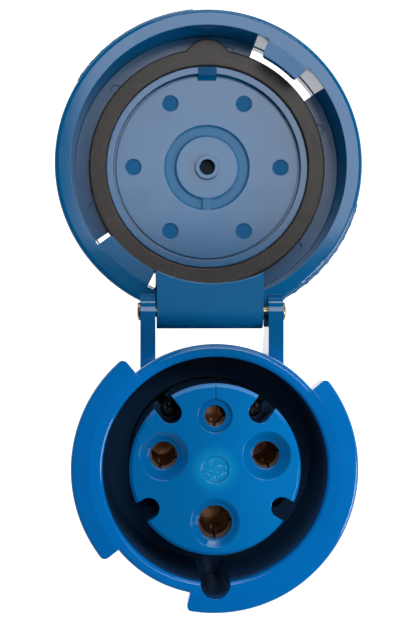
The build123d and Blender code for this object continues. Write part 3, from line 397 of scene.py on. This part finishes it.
def moulded(name, base, wear, worn, gap_shade=None, dull=None, tints=None, satin=0.0, sheen=1.0):
    """Satin moulded polyamide: cloudy colour, fine grain, hair scratches, rubbed edges and smudges.

    The gap shade and dull each take the finish and give a mask: of deep gaps, drawn dark as painted shade, and
    of duller spots.
    tints takes it and gives (mask, colour) pairs, among them painted shade and painted highlights. satin is
    added to the roughness, and sheen scales the reflection.
    """
    f = Finish(name)
    edge, soft = f.edges(wear.edge)
    clouds = f.noise(38, 3.0, 0.55)
    tone = f.mix(clouds, shade(base, 0.9), shade(base, 1.1))
    specks = f.ramp(f.noise(900, 2.0, 0.6), 0.64, 0.74)
    tone = f.mix(f.maths("MULTIPLY", specks, 0.04), tone, shade(worn, 0.9))
    hair = f.scratches(160, (1.0, 0.12, 1.0))
    cross = f.scratches(210, (0.10, 1.0, 0.6))
    lines = f.times(f.maths("MAXIMUM", hair, cross), f.ramp(f.noise(55, 2.0), 0.55, 0.7))
    rub = f.times(edge, f.ramp(f.noise(120, 3.0), 0.30, 0.62), wear.rubbed)
    lie = f.times(f.facing_up(), f.ramp(f.noise(70, 4.0), 0.35, 0.75), wear.dust)
    cover = f.maths("ADD", f.maths("ADD", rub, lie), f.maths("MULTIPLY", lines, 0.06), clamp=True)
    tone = f.mix(cover, tone, list(worn) + [1.0])
    for mask, tint in tints(f) if tints else ():
        tone = f.mix(mask, tone, list(tint) + [1.0])
    specular = f.maths("SUBTRACT", 0.5 * sheen, f.maths("MULTIPLY", lines, 0.1))
    smudge = f.ramp(f.noise(95, 4.0, 0.6, distortion=0.8), 0.45, 0.75)
    rough = f.maths("ADD", wear.gloss + satin, f.maths("MULTIPLY", smudge, 0.03))
    if dull:
        spots = dull(f)
        rough = f.maths("ADD", rough, f.maths("MULTIPLY", spots, 0.3))
        specular = f.maths("MULTIPLY", specular, f.maths("SUBTRACT", 1.0, f.maths("MULTIPLY", spots, 0.75)))
    # Painted shade: the deep gaps take the gap colour and lose their reflection
    if gap_shade:
        gaps = f.maths("MULTIPLY", gap_shade(f), wear.gap_shade)
        tone = f.mix(gaps, tone, shade(bpy.context.scene.socket_colours.gap, 1.0))
        specular = f.maths("MULTIPLY", specular, f.maths("SUBTRACT", 1.0, gaps))
    f.set(Base_Color=tone, Roughness=rough, IOR=1.5, Specular_IOR_Level=specular)
    grain = f.bump(f.noise(2600, 2.0, 0.6), wear.grain, soft)
    f.set(Normal=f.bump(lines, 0.000003, grain))
    return f.material


def rubbered(name, base, centre=(0, 0)):
    """Matt rubber: mottled, with a bloom of dust, rub marks round centre and a fine grain."""
    f = Finish(name)
    edge, soft = f.edges(0.0004)
    mottle = f.noise(260, 4.0, 0.6)
    tone = f.mix(mottle, shade(base, 0.72), shade(base, 1.22))
    bloom = f.times(f.ramp(f.noise(48, 3.0), 0.42, 0.7), 0.30)
    tone = f.mix(f.maths("ADD", bloom, f.maths("MULTIPLY", edge, 0.25), clamp=True), tone, shade(base, 2.1))
    x, y = f.split(centre)
    around = f.maths("ARCTAN2", y, x)
    lap = f.add("ShaderNodeCombineXYZ", {"X": f.times(f.round_about(centre), 900.0), "Y": around})
    sockets = {"Vector": lap.outputs[0], "Scale": 1.6, "Detail": 4.0, "Roughness": 0.6}
    marks = f.add("ShaderNodeTexNoise", sockets).outputs["Fac"]
    tone = f.mix(f.times(f.ramp(marks, 0.52, 0.72), 0.4), tone, shade(base, 2.6))
    tone = f.mix(f.times(f.ramp(marks, 0.46, 0.30), 0.5), tone, shade(base, 0.5))
    specks = f.ramp(f.noise(1500, 2.0, 0.7), 0.66, 0.74)
    f.set(Base_Color=f.mix(f.times(specks, 0.35), tone, shade(bpy.context.scene.socket_colours.speck, 1.0)))
    f.set(Roughness=f.maths("ADD", 0.2, f.maths("MULTIPLY", mottle, 0.14)))
    f.set(IOR=1.5, Specular_IOR_Level=0.22)
    f.set(Normal=f.bump(f.noise(1900, 3.0, 0.65), 0.00003, soft))
    return f.material


def metal(name, base, rough, tarnish, dark, turned=None, bare=1.0, mouth=None):
    """Metal with tarnish in patches and fine tool marks.

    bare is the share of it without a dull skin. mouth takes the finish and gives a mask where the tone is drawn
    near-black.
    """
    f = Finish(name)
    edge, soft = f.edges(0.00015)
    patches = f.times(f.ramp(f.noise(170, 4.0, 0.6), 0.40, 0.68), tarnish)
    tone = f.mix(f.noise(420, 2.0), shade(base, 0.86), shade(base, 1.1))
    tone = f.mix(patches, tone, shade(dark, 1.0))
    # Near-black where the mouth mask is set
    if mouth:
        tone = f.mix(mouth(f), tone, shade(dark, 0.22))
    f.set(Base_Color=tone, Metallic=bare(f) if callable(bare) else bare)
    marks = f.noise(900, 2.0, 0.5, turned or (1.0, 1.0, 0.05))
    uneven = f.maths("ADD", f.times(marks, 0.12), f.times(patches, 0.25))
    f.set(Roughness=f.maths("ADD", rough, uneven))
    f.set(Normal=f.bump(marks, 0.000012, soft))
    return f.material


def settings():
    """The scene's own colours and wear."""
    return bpy.context.scene.socket_colours, bpy.context.scene.socket_wear


def dress(node, material):
    """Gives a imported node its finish."""
    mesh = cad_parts[node].data
    mesh.materials.clear()
    mesh.materials.append(material)


def stand_in(mesh, name, body, material=None, nodes=()):
    """Finished piece: the mesh as an object that rides on a body, in place of the nodes."""
    obj = bpy.data.objects.new(name, mesh)
    bpy.context.scene.collection.objects.link(obj)
    if material:
        mesh.materials.clear()
        mesh.materials.append(material)
    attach(obj, body)
    if nodes:
        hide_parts(*nodes)
    return obj


def node_tree(name, inputs):
    """Geometry node tree with named inputs, and a maker of its nodes."""
    tree = bpy.data.node_groups.new(name, "GeometryNodeTree")
    tree.is_modifier = True
    tree.interface.new_socket("Geometry", in_out="OUTPUT", socket_type="NodeSocketGeometry")
    for label, kind in inputs:
        tree.interface.new_socket(label, in_out="INPUT", socket_type=kind)
    entry = tree.nodes.new("NodeGroupInput")

    def add(kind, sockets=None, **options):
        node = tree.nodes.new(kind)
        for key, value in options.items():
            setattr(node, key, value)
        for key, value in (sockets or {}).items():
            socket = node.inputs[key]
            if isinstance(value, bpy.types.NodeSocket):
                tree.links.new(value, socket)
            else:
                socket.default_value = value
        return node

    return tree, entry.outputs, add


def close_tree(tree, add, geometry, material):
    """Realizes the instances, sets the material and ends the tree."""
    solid = add("GeometryNodeRealizeInstances", {0: geometry})
    finish = add("GeometryNodeSetMaterial", {"Geometry": solid.outputs[0], "Material": material})
    output = add("NodeGroupOutput")
    tree.links.new(finish.outputs[0], output.inputs[0])


def grown(tree, values, points=None):
    """Plain mesh of a tree's result, with its inputs set by identifier."""
    mesh = points or bpy.data.meshes.new(tree.name)
    holder = bpy.data.objects.new(tree.name, mesh)
    bpy.context.scene.collection.objects.link(holder)
    modifier = holder.modifiers.new(tree.name, "NODES")
    modifier.node_group = tree
    for item in tree.interface.items_tree:
        if item.item_type == "SOCKET" and item.in_out == "INPUT" and item.name in values:
            modifier[item.identifier] = values[item.name]
    evaluated = holder.evaluated_get(bpy.context.evaluated_depsgraph_get())
    result = bpy.data.meshes.new_from_object(evaluated)
    holder.modifiers.remove(modifier)
    bpy.data.objects.remove(holder)
    return result


def tidy(mesh, smooth=35):
    """Merges doubles, turns the faces outwards and shades smooth up to an angle."""
    bm = bmesh.new()
    bm.from_mesh(mesh)
    bmesh.ops.remove_doubles(bm, verts=bm.verts, dist=1e-6)
    bmesh.ops.recalc_face_normals(bm, faces=bm.faces)
    bm.to_mesh(mesh)
    bm.free()
    mesh.shade_smooth()
    mesh.set_sharp_from_angle(angle=radians(smooth))
    return mesh


def screw_mesh(head_r, head_h, shank_r, shank, cross, depth):
    """Screw with a domed head and a cross recess, its head's seat at the origin and its shank down -Z."""
    bm = bmesh.new()
    steps, sides = 18, 48

    def ring(radius, height):
        made = []
        for k in range(sides):
            a = 2 * pi * k / sides
            made.append(bm.verts.new((radius * cos(a), radius * sin(a), height(radius, a))))
        return made

    def top(radius, angle):
        dome = head_h * (0.62 + 0.38 * (1 - (radius / head_r) ** 2.4))
        x, y = radius * cos(angle), radius * sin(angle)
        reach = 0.66 * head_r
        arm = max(
            (1 - min(1, abs(y) / cross) ** 3) * (1 - min(1, abs(x) / reach) ** 4),
            (1 - min(1, abs(x) / cross) ** 3) * (1 - min(1, abs(y) / reach) ** 4),
        )
        well = max(0.0, 1 - (radius / (1.9 * cross)) ** 2)
        return dome - depth * max(arm, 0.0) * (0.75 + 0.25 * well)

    rings = [ring(head_r * k / steps, top) for k in range(1, steps + 1)]
    for k in range(8):
        fall = head_h * 0.62 * (1 - (k + 1) / 8)
        rings.append(ring(head_r * (1.0 + 0.02 * sin(pi * (k + 1) / 8)), lambda r, a, z=fall: z))
    turns = max(2, int(shank / (0.7 * shank_r)))
    rings.append(ring(shank_r, lambda r, a: 0.0))
    for k in range(1, 2 * turns):
        radius = shank_r * (0.84 if k % 2 else 1.0)
        rings.append(ring(radius, lambda r, a, z=-shank * k / (2 * turns): z))
    rings.append(ring(shank_r * 0.7, lambda r, a: -shank))
    for low, high in zip(rings, rings[1:]):
        for k in range(sides):
            m = (k + 1) % sides
            bm.faces.new((low[k], low[m], high[m], high[k]))
    centre = bm.verts.new((0, 0, top(0.0, 0.0)))
    end = bm.verts.new((0, 0, -shank))
    for k in range(sides):
        m = (k + 1) % sides
        bm.faces.new((rings[0][m], rings[0][k], centre))
        bm.faces.new((rings[-1][k], rings[-1][m], end))
    bmesh.ops.recalc_face_normals(bm, faces=bm.faces)
    mesh = bpy.data.meshes.new("screw")
    bm.to_mesh(mesh)
    bm.free()
    return mesh


def screws_at(name, screw, places, material):
    """Mesh of a screw repeated at (x, y, z, turn about X, turn about Z) places by geometry nodes."""
    source = bpy.data.objects.new(name + "_one", screw)
    bpy.context.scene.collection.objects.link(source)
    tree, given, add = node_tree(
        name, [("Screw", "NodeSocketObject"), ("Finish", "NodeSocketMaterial"), ("Size", "NodeSocketFloat")]
    )
    points = bpy.data.meshes.new(name)
    points.from_pydata([p[:3] for p in places], [], [])
    turn = points.attributes.new("turn", "FLOAT_VECTOR", "POINT")
    for k, p in enumerate(places):
        turn.data[k].vector = (p[3], 0.0, p[4])
    base = tree.interface.new_socket("Points", in_out="INPUT", socket_type="NodeSocketGeometry")
    tree.interface.move(base, 0)
    named = add("GeometryNodeInputNamedAttribute", {"Name": "turn"}, data_type="FLOAT_VECTOR")
    angle = add("FunctionNodeEulerToRotation", {0: named.outputs[0]})
    one = add("GeometryNodeObjectInfo", {"Object": given["Screw"]})
    spread = add(
        "GeometryNodeInstanceOnPoints",
        {
            "Points": given["Points"],
            "Instance": one.outputs["Geometry"],
            "Rotation": angle.outputs[0],
            "Scale": given["Size"],
        },
    )
    close_tree(tree, add, spread.outputs[0], given["Finish"])
    mesh = grown(tree, {"Screw": source, "Finish": material, "Size": 1.0}, points)
    bpy.data.objects.remove(source)
    return tidy(mesh)


def thread_mesh(radius, height, pitch, low, high, material):
    """Helical ridge round the neck, made by geometry nodes."""
    kinds = ("Radius", "Height", "Pitch", "Start", "Length")
    tree, given, add = node_tree(
        "neck_thread", [(k, "NodeSocketFloat") for k in kinds] + [("Finish", "NodeSocketMaterial")]
    )
    turns = add("ShaderNodeMath", {0: given["Length"], 1: given["Pitch"]}, operation="DIVIDE")
    spiral = add(
        "GeometryNodeCurveSpiral",
        {
            "Resolution": 72,
            "Rotations": turns.outputs[0],
            "Start Radius": given["Radius"],
            "End Radius": given["Radius"],
            "Height": given["Length"],
        },
    )
    upright = add("GeometryNodeSetCurveNormal", {0: spiral.outputs[0]}, mode="Z_UP")
    wide = add("ShaderNodeMath", {0: given["Pitch"], 1: 0.8}, operation="MULTIPLY")
    narrow = add("ShaderNodeMath", {0: given["Pitch"], 1: 0.3}, operation="MULTIPLY")
    tall = add("ShaderNodeMath", {0: given["Height"], 1: 2.0}, operation="MULTIPLY")
    profile = add(
        "GeometryNodeCurvePrimitiveQuadrilateral",
        {
            "Bottom Width": wide.outputs[0],
            "Top Width": narrow.outputs[0],
            "Height": tall.outputs[0],
            "Offset": 0.0,
        },
        mode="TRAPEZOID",
    )
    ridge = add(
        "GeometryNodeCurveToMesh",
        {"Curve": upright.outputs[0], "Profile Curve": profile.outputs[0], "Fill Caps": True},
    )
    lift = add("ShaderNodeCombineXYZ", {"Z": given["Start"]})
    placed = add("GeometryNodeTransform", {"Geometry": ridge.outputs[0], "Translation": lift.outputs[0]})
    close_tree(tree, add, placed.outputs[0], given["Finish"])
    values = {
        "Radius": radius,
        "Height": height,
        "Pitch": pitch,
        "Start": low,
        "Length": high - low,
        "Finish": material,
    }
    return tidy(grown(tree, values), 50)


def fluted_mesh(profile, flutes, depth, low, high, radius, material):
    """Turned body with finger flutes between two heights, a grid wrapped round a profile."""
    bend = bpy.data.meshes.new("profile")
    bend.from_pydata([(r, 0, z) for r, z in profile], [(k, k + 1) for k in range(len(profile) - 1)], [])
    outline = bpy.data.objects.new("profile", bend)
    bpy.context.scene.collection.objects.link(outline)
    tree, given, add = node_tree(
        "fluted_body",
        [
            ("Outline", "NodeSocketObject"),
            ("Flutes", "NodeSocketInt"),
            ("Depth", "NodeSocketFloat"),
            ("Low", "NodeSocketFloat"),
            ("High", "NodeSocketFloat"),
            ("Radius", "NodeSocketFloat"),
            ("Finish", "NodeSocketMaterial"),
        ],
    )

    def maths(operation, *values):
        return add("ShaderNodeMath", dict(enumerate(values)), operation=operation).outputs[0]

    shape = add("GeometryNodeObjectInfo", {"Object": given["Outline"]})
    line = add("GeometryNodeMeshToCurve", {0: shape.outputs["Geometry"]})
    rows = 260
    fine = add("GeometryNodeResampleCurve", {"Curve": line.outputs[0], "Count": rows}, mode="COUNT")
    around = maths("MULTIPLY", given["Flutes"], 14)
    count = maths("ADD", around, 1)
    sheet_size = {"Size X": 1.0, "Size Y": 1.0, "Vertices X": count, "Vertices Y": rows}
    sheet = add("GeometryNodeMeshGrid", sheet_size)
    uv = add("ShaderNodeSeparateXYZ", {0: sheet.outputs["UV Map"]})
    along = {"Curves": fine.outputs[0], "Factor": uv.outputs["Y"]}
    sample = add("GeometryNodeSampleCurve", along, mode="FACTOR")
    sample.use_all_curves = True
    point = add("ShaderNodeSeparateXYZ", {0: sample.outputs["Position"]})
    angle = maths("MULTIPLY", uv.outputs["X"], 2 * pi)
    wave = maths("COSINE", maths("MULTIPLY", angle, given["Flutes"]))
    groove = maths("POWER", maths("MAXIMUM", maths("MULTIPLY_ADD", wave, 0.9, 0.1), 0.0), 0.7)

    def step(value, start, end):
        sockets = {"Value": value, "From Min": start, "From Max": end}
        return add("ShaderNodeMapRange", sockets, interpolation_type="SMOOTHSTEP").outputs["Result"]

    above = step(point.outputs["Z"], given["Low"], maths("ADD", given["Low"], 0.003))
    below = step(point.outputs["Z"], given["High"], maths("SUBTRACT", given["High"], 0.003))
    outside = step(point.outputs["X"], maths("SUBTRACT", given["Radius"], 0.0022), given["Radius"])
    cut = maths("MULTIPLY", maths("MULTIPLY", groove, outside), maths("MULTIPLY", above, below))
    radius_now = maths("SUBTRACT", point.outputs["X"], maths("MULTIPLY", cut, given["Depth"]))
    x = maths("MULTIPLY", radius_now, maths("COSINE", angle))
    y = maths("MULTIPLY", radius_now, maths("SINE", angle))
    place = add("ShaderNodeCombineXYZ", {"X": x, "Y": y, "Z": point.outputs["Z"]})
    moved = {"Geometry": sheet.outputs["Mesh"], "Position": place.outputs[0]}
    wrapped = add("GeometryNodeSetPosition", moved)
    closed = add("GeometryNodeMergeByDistance", {"Geometry": wrapped.outputs[0], "Distance": 1e-6})
    close_tree(tree, add, closed.outputs[0], given["Finish"])
    values = {
        "Outline": outline,
        "Flutes": flutes,
        "Depth": depth,
        "Low": low,
        "High": high,
        "Radius": radius,
        "Finish": material,
    }
    mesh = grown(tree, values)
    bpy.data.objects.remove(outline)
    return tidy(mesh, 40)


class SOCKET_OT_front(bpy.types.Operator):
    """Front housing with its bayonet flange, and the rear housing with its seal"""

    bl_idname = "socket.front"
    bl_label = "Housings"

    def execute(self, context):
        colours, wear = settings()

        def tints(f):
            # Painted shade over the housing near the hinge
            return [(f.times(f.ramp(f.split()[1], *HINGE_SHADE), 0.8), colours.hinge)]

        blue = moulded("housing_blue", colours.housing, wear, colours.rub, gap_shade=bore_shade, tints=tints)
        dress("front_housing", blue)
        dress("rear_housing", moulded("rear_blue", colours.housing, wear, colours.rub))
        dress("housing_seal", rubbered("seal_rubber", colours.rubber))
        return {"FINISHED"}


class SOCKET_OT_insert(bpy.types.Operator):
    """Contact carrier with its sleeves, springs, terminal screws and retainer"""

    bl_idname = "socket.insert"
    bl_label = "Insert and contacts"

    def execute(self, context):
        colours, wear = settings()

        def tints(f):
            across, up = f.split()
            reach = f.round_about((0, 0))
            # Painted highlight: glints on the gate mark's swirls
            glint_curls = f.ramp(f.noise(420, 4.0, 0.6, distortion=2.5), 0.55, 0.66)
            # Painted shade: what lies below the insert's face is drawn darker
            below = f.ramp(f.height(), FACE - 0.0002, FACE - 0.0007)
            # Painted highlight along the upper half of the insert's edge
            rim = f.ramp(reach, CARRIER_R - 0.0014, CARRIER_R - 0.0008)
            return [
                # Painted shade on the carrier's left side
                (f.times(f.ramp(across, 0.026, -0.018), 0.9), colours.shaded),
                # Painted highlight: glare round the gate
                (f.times(f.ramp(reach, *GATE_FADE), 0.75), colours.gate_glare),
                (f.times(glint_curls, f.within((0, 0), GATE_MARK_R, 0.002), 0.6), colours.swirl_glints),
                (f.times(below, f.within((0, 0), CARRIER_R - 0.0016), 0.5), colours.cone_shade),
                (f.times(rim, f.ramp(up, 0.014, 0.024), 0.6), colours.edge_highlight),
            ]

        blue = moulded("insert_blue", colours.insert, wear, colours.rub, gap_shade=carrier_shade, tints=tints)
        for node in ("contact_carrier", "carrier_base"):
            dress(node, blue)

        def bare(f):
            deep = f.ramp(f.height(), RIM - SLEEVE_BARE[0], RIM - SLEEVE_BARE[1])
            return f.maths("ADD", 0.15, f.times(deep, 0.6))

        # Sleeves drawn darker towards their mouths
        def mouth(f):
            return f.times(f.ramp(f.height(), RIM - SLEEVE_MOUTH[1], RIM - SLEEVE_MOUTH[0]), 0.85)

        brass = metal("contact_brass", colours.brass, 0.28, 0.55, colours.tarnish, bare=bare, mouth=mouth)
        for node in ("contact_live", "contact_neutral", "contact_earth"):
            dress(node, brass)
        pilot = metal("pilot_brass", colours.pilot, 0.22, 0.4, colours.tarnish, mouth=mouth)
        dress("contact_pilot", pilot)
        steel = metal("spring_steel", colours.steel, 0.26, 0.2, colours.spring)
        dress("contact_springs", steel)
        dress("terminal_screws", steel)
        dress("carrier_retainer", moulded("inner_plastic", colours.inner, wear, colours.inner_rub))
        return {"FINISHED"}


class SOCKET_OT_screws(bpy.types.Operator):
    """Cross-head screws of the carrier, the housings and the lid's pivot"""

    bl_idname = "socket.screws"
    bl_label = "Screws"

    def execute(self, context):
        colours, wear = settings()
        steel = metal("screw_steel", colours.steel, 0.24, 0.25, colours.screw_dirt)
        # Painted shade: darker steel for the screws deep in the carrier's notches
        shaded_steel = metal("insert_screw_steel", colours.shaded_steel, 0.3, 0.4, colours.shaded_dirt)
        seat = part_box("carrier_screws")[1].z - CARRIER_SCREW[1]
        places = []
        for radius, angle in CARRIER_SCREWS:
            a = radians(angle)
            places.append((radius * cos(a), radius * sin(a), seat, 0.0, a * 3.1))
        self.fit("carrier_screw_set", "socket", "carrier_screws", CARRIER_SCREW, places, shaded_steel)
        low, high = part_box("housing_screws")
        reach = high.x - HOUSING_SCREW[0]
        places = [(side * reach, 0.0, low.z + HOUSING_SCREW[1], pi, 0.4 * side) for side in (1, -1)]
        self.fit("housing_screw_set", "socket", "housing_screws", HOUSING_SCREW, places, steel)
        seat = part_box("pivot_screw")[0].z + PIVOT_SCREW[1]
        places = [(LID_CENTRE.x, LID_CENTRE.y, seat, pi, 0.7)]
        self.fit("pivot_screw_head", "lid", "pivot_screw", PIVOT_SCREW, places, steel)
        dress("pivot_washer", steel)
        return {"FINISHED"}

    def fit(self, name, body, node, sizes, places, material):
        """Screws of a kind at their places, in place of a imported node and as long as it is."""
        head_r, head_h, shank_r, cross, depth = sizes
        low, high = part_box(node)
        one = screw_mesh(head_r, head_h, shank_r, high.z - low.z - head_h, cross, depth)
        mesh = screws_at(name, one, places, material)
        stand_in(mesh, name, body, nodes=(node,))


class SOCKET_OT_gland(bpy.types.Operator):
    """Gland nut with finger flutes, the neck's thread, and the gland's inner pieces"""

    bl_idname = "socket.gland"
    bl_label = "Cord gland"

    def execute(self, context):
        colours, wear = settings()
        blue = moulded("gland_blue", colours.housing, wear, colours.rub)
        details = context.scene.socket_details
        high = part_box("gland_nut")[1]
        radius, top = high.x, high.z
        bore = radius - NUT_WALL
        profile = [
            (CORD_HOLE_R, NUT_CORNER),
            (CORD_HOLE_R + NUT_CORNER, 0.0),
            (radius - NUT_EDGE, 0.0),
            (radius - NUT_CORNER, NUT_CORNER_DROP),
            (radius, NUT_EDGE),
            (radius, top - NUT_EDGE),
            (radius - NUT_CORNER, top - NUT_CORNER_DROP),
            (radius - NUT_EDGE, top),
            (bore + NUT_CORNER, top),
            (bore, top - NUT_CORNER),
            (bore, NUT_FLOOR),
            (CORD_HOLE_R, NUT_FLOOR),
            (CORD_HOLE_R, NUT_CORNER),
        ]
        ends = NUT_EDGE, top - THREAD_BELOW
        mesh = fluted_mesh(profile, details.nut_flutes, details.nut_flute_depth, *ends, radius, blue)
        stand_in(mesh, "fluted_gland_nut", "socket", nodes=("gland_nut",))
        ends = top - THREAD_BELOW, top + THREAD_ABOVE
        mesh = thread_mesh(radius - THREAD_INSET, details.thread_height, details.thread_pitch, *ends, blue)
        stand_in(mesh, "neck_thread", "socket")
        dark = moulded("gland_plastic", colours.inner, wear, colours.inner_rub)
        dress("gland_slip_ring", dark)
        dress("gland_claw", dark)
        dress("gland_seal", rubbered("gland_rubber", colours.rubber))
        return {"FINISHED"}


class SOCKET_OT_hinge(bpy.types.Operator):
    """Hinge pin and its press-on cap"""

    bl_idname = "socket.hinge"
    bl_label = "Hinge pin"

    def execute(self, context):
        colours, wear = settings()
        steel = metal("pin_steel", colours.pin, 0.22, 0.3, colours.pin_dirt, (0.05, 1.0, 1.0))
        dress("hinge_pin", steel)
        dress("pin_cap", steel)
        return {"FINISHED"}


class SOCKET_OT_lid(bpy.types.Operator):
    """Hinge plate, gasket and locking cap"""

    bl_idname = "socket.lid"
    bl_label = "Lid"

    def execute(self, context):
        colours, wear = settings()
        centre = (LID_CENTRE.x, LID_CENTRE.y)

        def groove(f):
            reach = f.round_about(centre)
            outer = f.ramp(reach, GROOVE[1], GROOVE[1] - 0.0004)
            return f.times(outer, f.ramp(reach, GROOVE[0] - 0.0004, GROOVE[0]))

        def hole(f):
            below = f.ramp(f.height(), HOLE_TOP, HOLE_TOP - 0.0006)
            return f.times(f.within(centre, HOLE_R + 0.0001, 0.0002), below)

        def key_block(f):
            x, y = f.split(centre)
            side = f.ramp(f.maths("ABSOLUTE", x), KEY_BLOCK_HALF + 0.0001, KEY_BLOCK_HALF)
            return f.times(side, f.ramp(y, KEY_BLOCK_Y - 0.0001, KEY_BLOCK_Y))

        def deep(f):
            floor = f.ramp(f.height(), CAP_FLOOR_Z + 0.002, CAP_FLOOR_Z + 0.001)
            lugs = f.within(centre, LUG_REACH_R)
            return f.times(f.maths("MAXIMUM", floor, lugs), 0.35)

        def dull(f):
            spots = f.six_spots(centre, MARK_CIRCLE_R, MARK_R)
            reach = f.round_about(centre)
            neck = f.ramp(reach, NECK_REACH, NECK_REACH + 0.0005)
            mask = f.times(groove(f), 0.7)
            for part in (spots, neck, hole(f), key_block(f)):
                mask = f.maths("MAXIMUM", mask, part)
            return mask

        def tints(f):
            # Painted reflection: the groove is drawn paler for the light it reflects
            groove_sheen = shade(colours.rub, 0.7)[:3]
            dark = shade(colours.lid, 0.75)[:3]
            # Painted shade: the hole's walls are drawn near-black
            hole_shade = shade(colours.lid, 0.12)[:3]
            return [(groove(f), groove_sheen), (f.times(key_block(f), 0.8), dark), (hole(f), hole_shade)]

        plate = moulded("plate_blue", colours.lid, wear, colours.rub, dull=dull, tints=tints, satin=0.06)
        dress("hinge_plate", plate)
        dress("lid_gasket", rubbered("gasket_rubber", colours.rubber, centre))
        cap = moulded("cap_blue", colours.lid, wear, colours.rub, dull=deep, sheen=0.85)
        dress("locking_cap", cap)
        return {"FINISHED"}


class SOCKET_OT_stage(bpy.types.Operator):
    """White floor, even room light, overhead panel and camera"""

    bl_idname = "socket.stage"
    bl_label = "Studio"

    def execute(self, context):
        stage = context.scene.socket_stage
        self.floor(context)
        self.room(context, stage.sky, stage.mirrored)
        for name, place, target, size, setting in PANELS:
            self.panel(context, name, place, target, size, getattr(stage, setting))
        data = bpy.data.cameras.new("camera")
        data.lens = stage.lens
        data.clip_start = 0.01
        camera = bpy.data.objects.new("camera", data)
        context.scene.collection.objects.link(camera)
        camera.location = (CAMERA_X, VIEW_Y, RIM + stage.distance)
        aim = Vector((AIM_X, VIEW_Y, RIM))
        back = (camera.location - aim).normalized()
        side = Vector((0, 1, 0)).cross(back).normalized()
        up = back.cross(side)
        turn = Matrix((side, up, back)).transposed().to_4x4()
        camera.matrix_world = Matrix.Translation(camera.location) @ turn
        context.scene.camera = camera
        context.scene.view_settings.view_transform = "Standard"
        return {"FINISHED"}

    def floor(self, context):
        """White table, drawn white to the camera and in reflections, with the object's shadow kept."""
        mesh = bpy.data.meshes.new("floor")
        bm = bmesh.new()
        bmesh.ops.create_grid(bm, x_segments=1, y_segments=1, size=FLOOR_REACH)
        bm.to_mesh(mesh)
        bm.free()
        obj = bpy.data.objects.new("floor", mesh)
        context.scene.collection.objects.link(obj)
        f = Finish("floor_white")
        f.set(Base_Color=(FLOOR_WHITE, FLOOR_WHITE, FLOOR_WHITE, 1), Roughness=0.9)
        rays = f.add("ShaderNodeLightPath")
        seen = f.maths("MAXIMUM", rays.outputs["Is Camera Ray"], rays.outputs["Is Glossy Ray"])
        seen = f.maths("MAXIMUM", seen, rays.outputs["Is Transmission Ray"])
        f.set(Emission_Color=(1, 1, 1, 1), Emission_Strength=f.times(seen, FLOOR_WHITE))
        mesh.materials.append(f.material)

    def room(self, context, strength, mirrored):
        """Even white light from all round, white to the camera and dim in reflections."""
        world = bpy.data.worlds.new("room")
        world.use_nodes = True
        tree = world.node_tree
        tree.nodes.clear()
        rays = tree.nodes.new("ShaderNodeLightPath")
        output = tree.nodes.new("ShaderNodeOutputWorld")
        light = self.background(tree, strength)
        brightnesses = {"Is Glossy Ray": mirrored, "Is Transmission Ray": 1.0, "Is Camera Ray": 1.0}
        for ray, brightness in brightnesses.items():
            mix = tree.nodes.new("ShaderNodeMixShader")
            tree.links.new(rays.outputs[ray], mix.inputs[0])
            tree.links.new(light.outputs[0], mix.inputs[1])
            tree.links.new(self.background(tree, brightness).outputs[0], mix.inputs[2])
            light = mix
        tree.links.new(light.outputs[0], output.inputs[0])
        context.scene.world = world

    def background(self, tree, strength):
        """White background of a strength."""
        node = tree.nodes.new("ShaderNodeBackground")
        node.inputs["Color"].default_value = (1, 1, 1, 1)
        node.inputs["Strength"].default_value = strength
        return node

    def panel(self, context, name, place, target, size, radiance):
        """Soft panel that looks at target, or straight down."""
        data = bpy.data.lights.new(name, "AREA")
        data.shape = "RECTANGLE"
        data.size, data.size_y = size
        data.energy = radiance * pi * size[0] * size[1]
        obj = bpy.data.objects.new(name, data)
        context.scene.collection.objects.link(obj)
        obj.location = place
        obj.rotation_mode = "QUATERNION"
        if target:
            obj.rotation_quaternion = (obj.location - Vector(target)).to_track_quat("Z", "Y")


class SOCKET_PT_panel(bpy.types.Panel):
    """Sidebar panel with the socket's settings and steps"""

    bl_idname = "SOCKET_PT_panel"
    bl_label = "Industrial Cable Socket"
    bl_space_type = "VIEW_3D"
    bl_region_type = "UI"
    bl_category = "Socket"

    def draw(self, context):
        layout = self.layout
        for operator in OPERATORS:
            layout.operator(operator.bl_idname)
        for group, kind in GROUPS.items():
            box = layout.box()
            for name in kind.__annotations__:
                box.prop(getattr(context.scene, group), name)


GROUPS = {
    "socket_colours": SocketColours,
    "socket_wear": SocketWear,
    "socket_details": SocketDetails,
    "socket_stage": SocketStage,
}
OPERATORS = (
    SOCKET_OT_front,
    SOCKET_OT_insert,
    SOCKET_OT_screws,
    SOCKET_OT_gland,
    SOCKET_OT_hinge,
    SOCKET_OT_lid,
    SOCKET_OT_stage,
)


def register():
    """Registers the groups, operators and panel."""
    for kind in (*GROUPS.values(), *OPERATORS, SOCKET_PT_panel):
        bpy.utils.register_class(kind)
    for group, kind in GROUPS.items():
        setattr(bpy.types.Scene, group, PointerProperty(type=kind))


def unregister():
    """Takes the groups, operators and panel out again."""
    for group in GROUPS:
        delattr(bpy.types.Scene, group)
    for kind in reversed((*GROUPS.values(), *OPERATORS, SOCKET_PT_panel)):
        bpy.utils.unregister_class(kind)


def main():
    """Registers the add-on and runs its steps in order."""
    register()
    for operator in OPERATORS:
        group, name = operator.bl_idname.split(".")
        getattr(getattr(bpy.ops, group), name)()


if __name__ == "__main__":
    main()
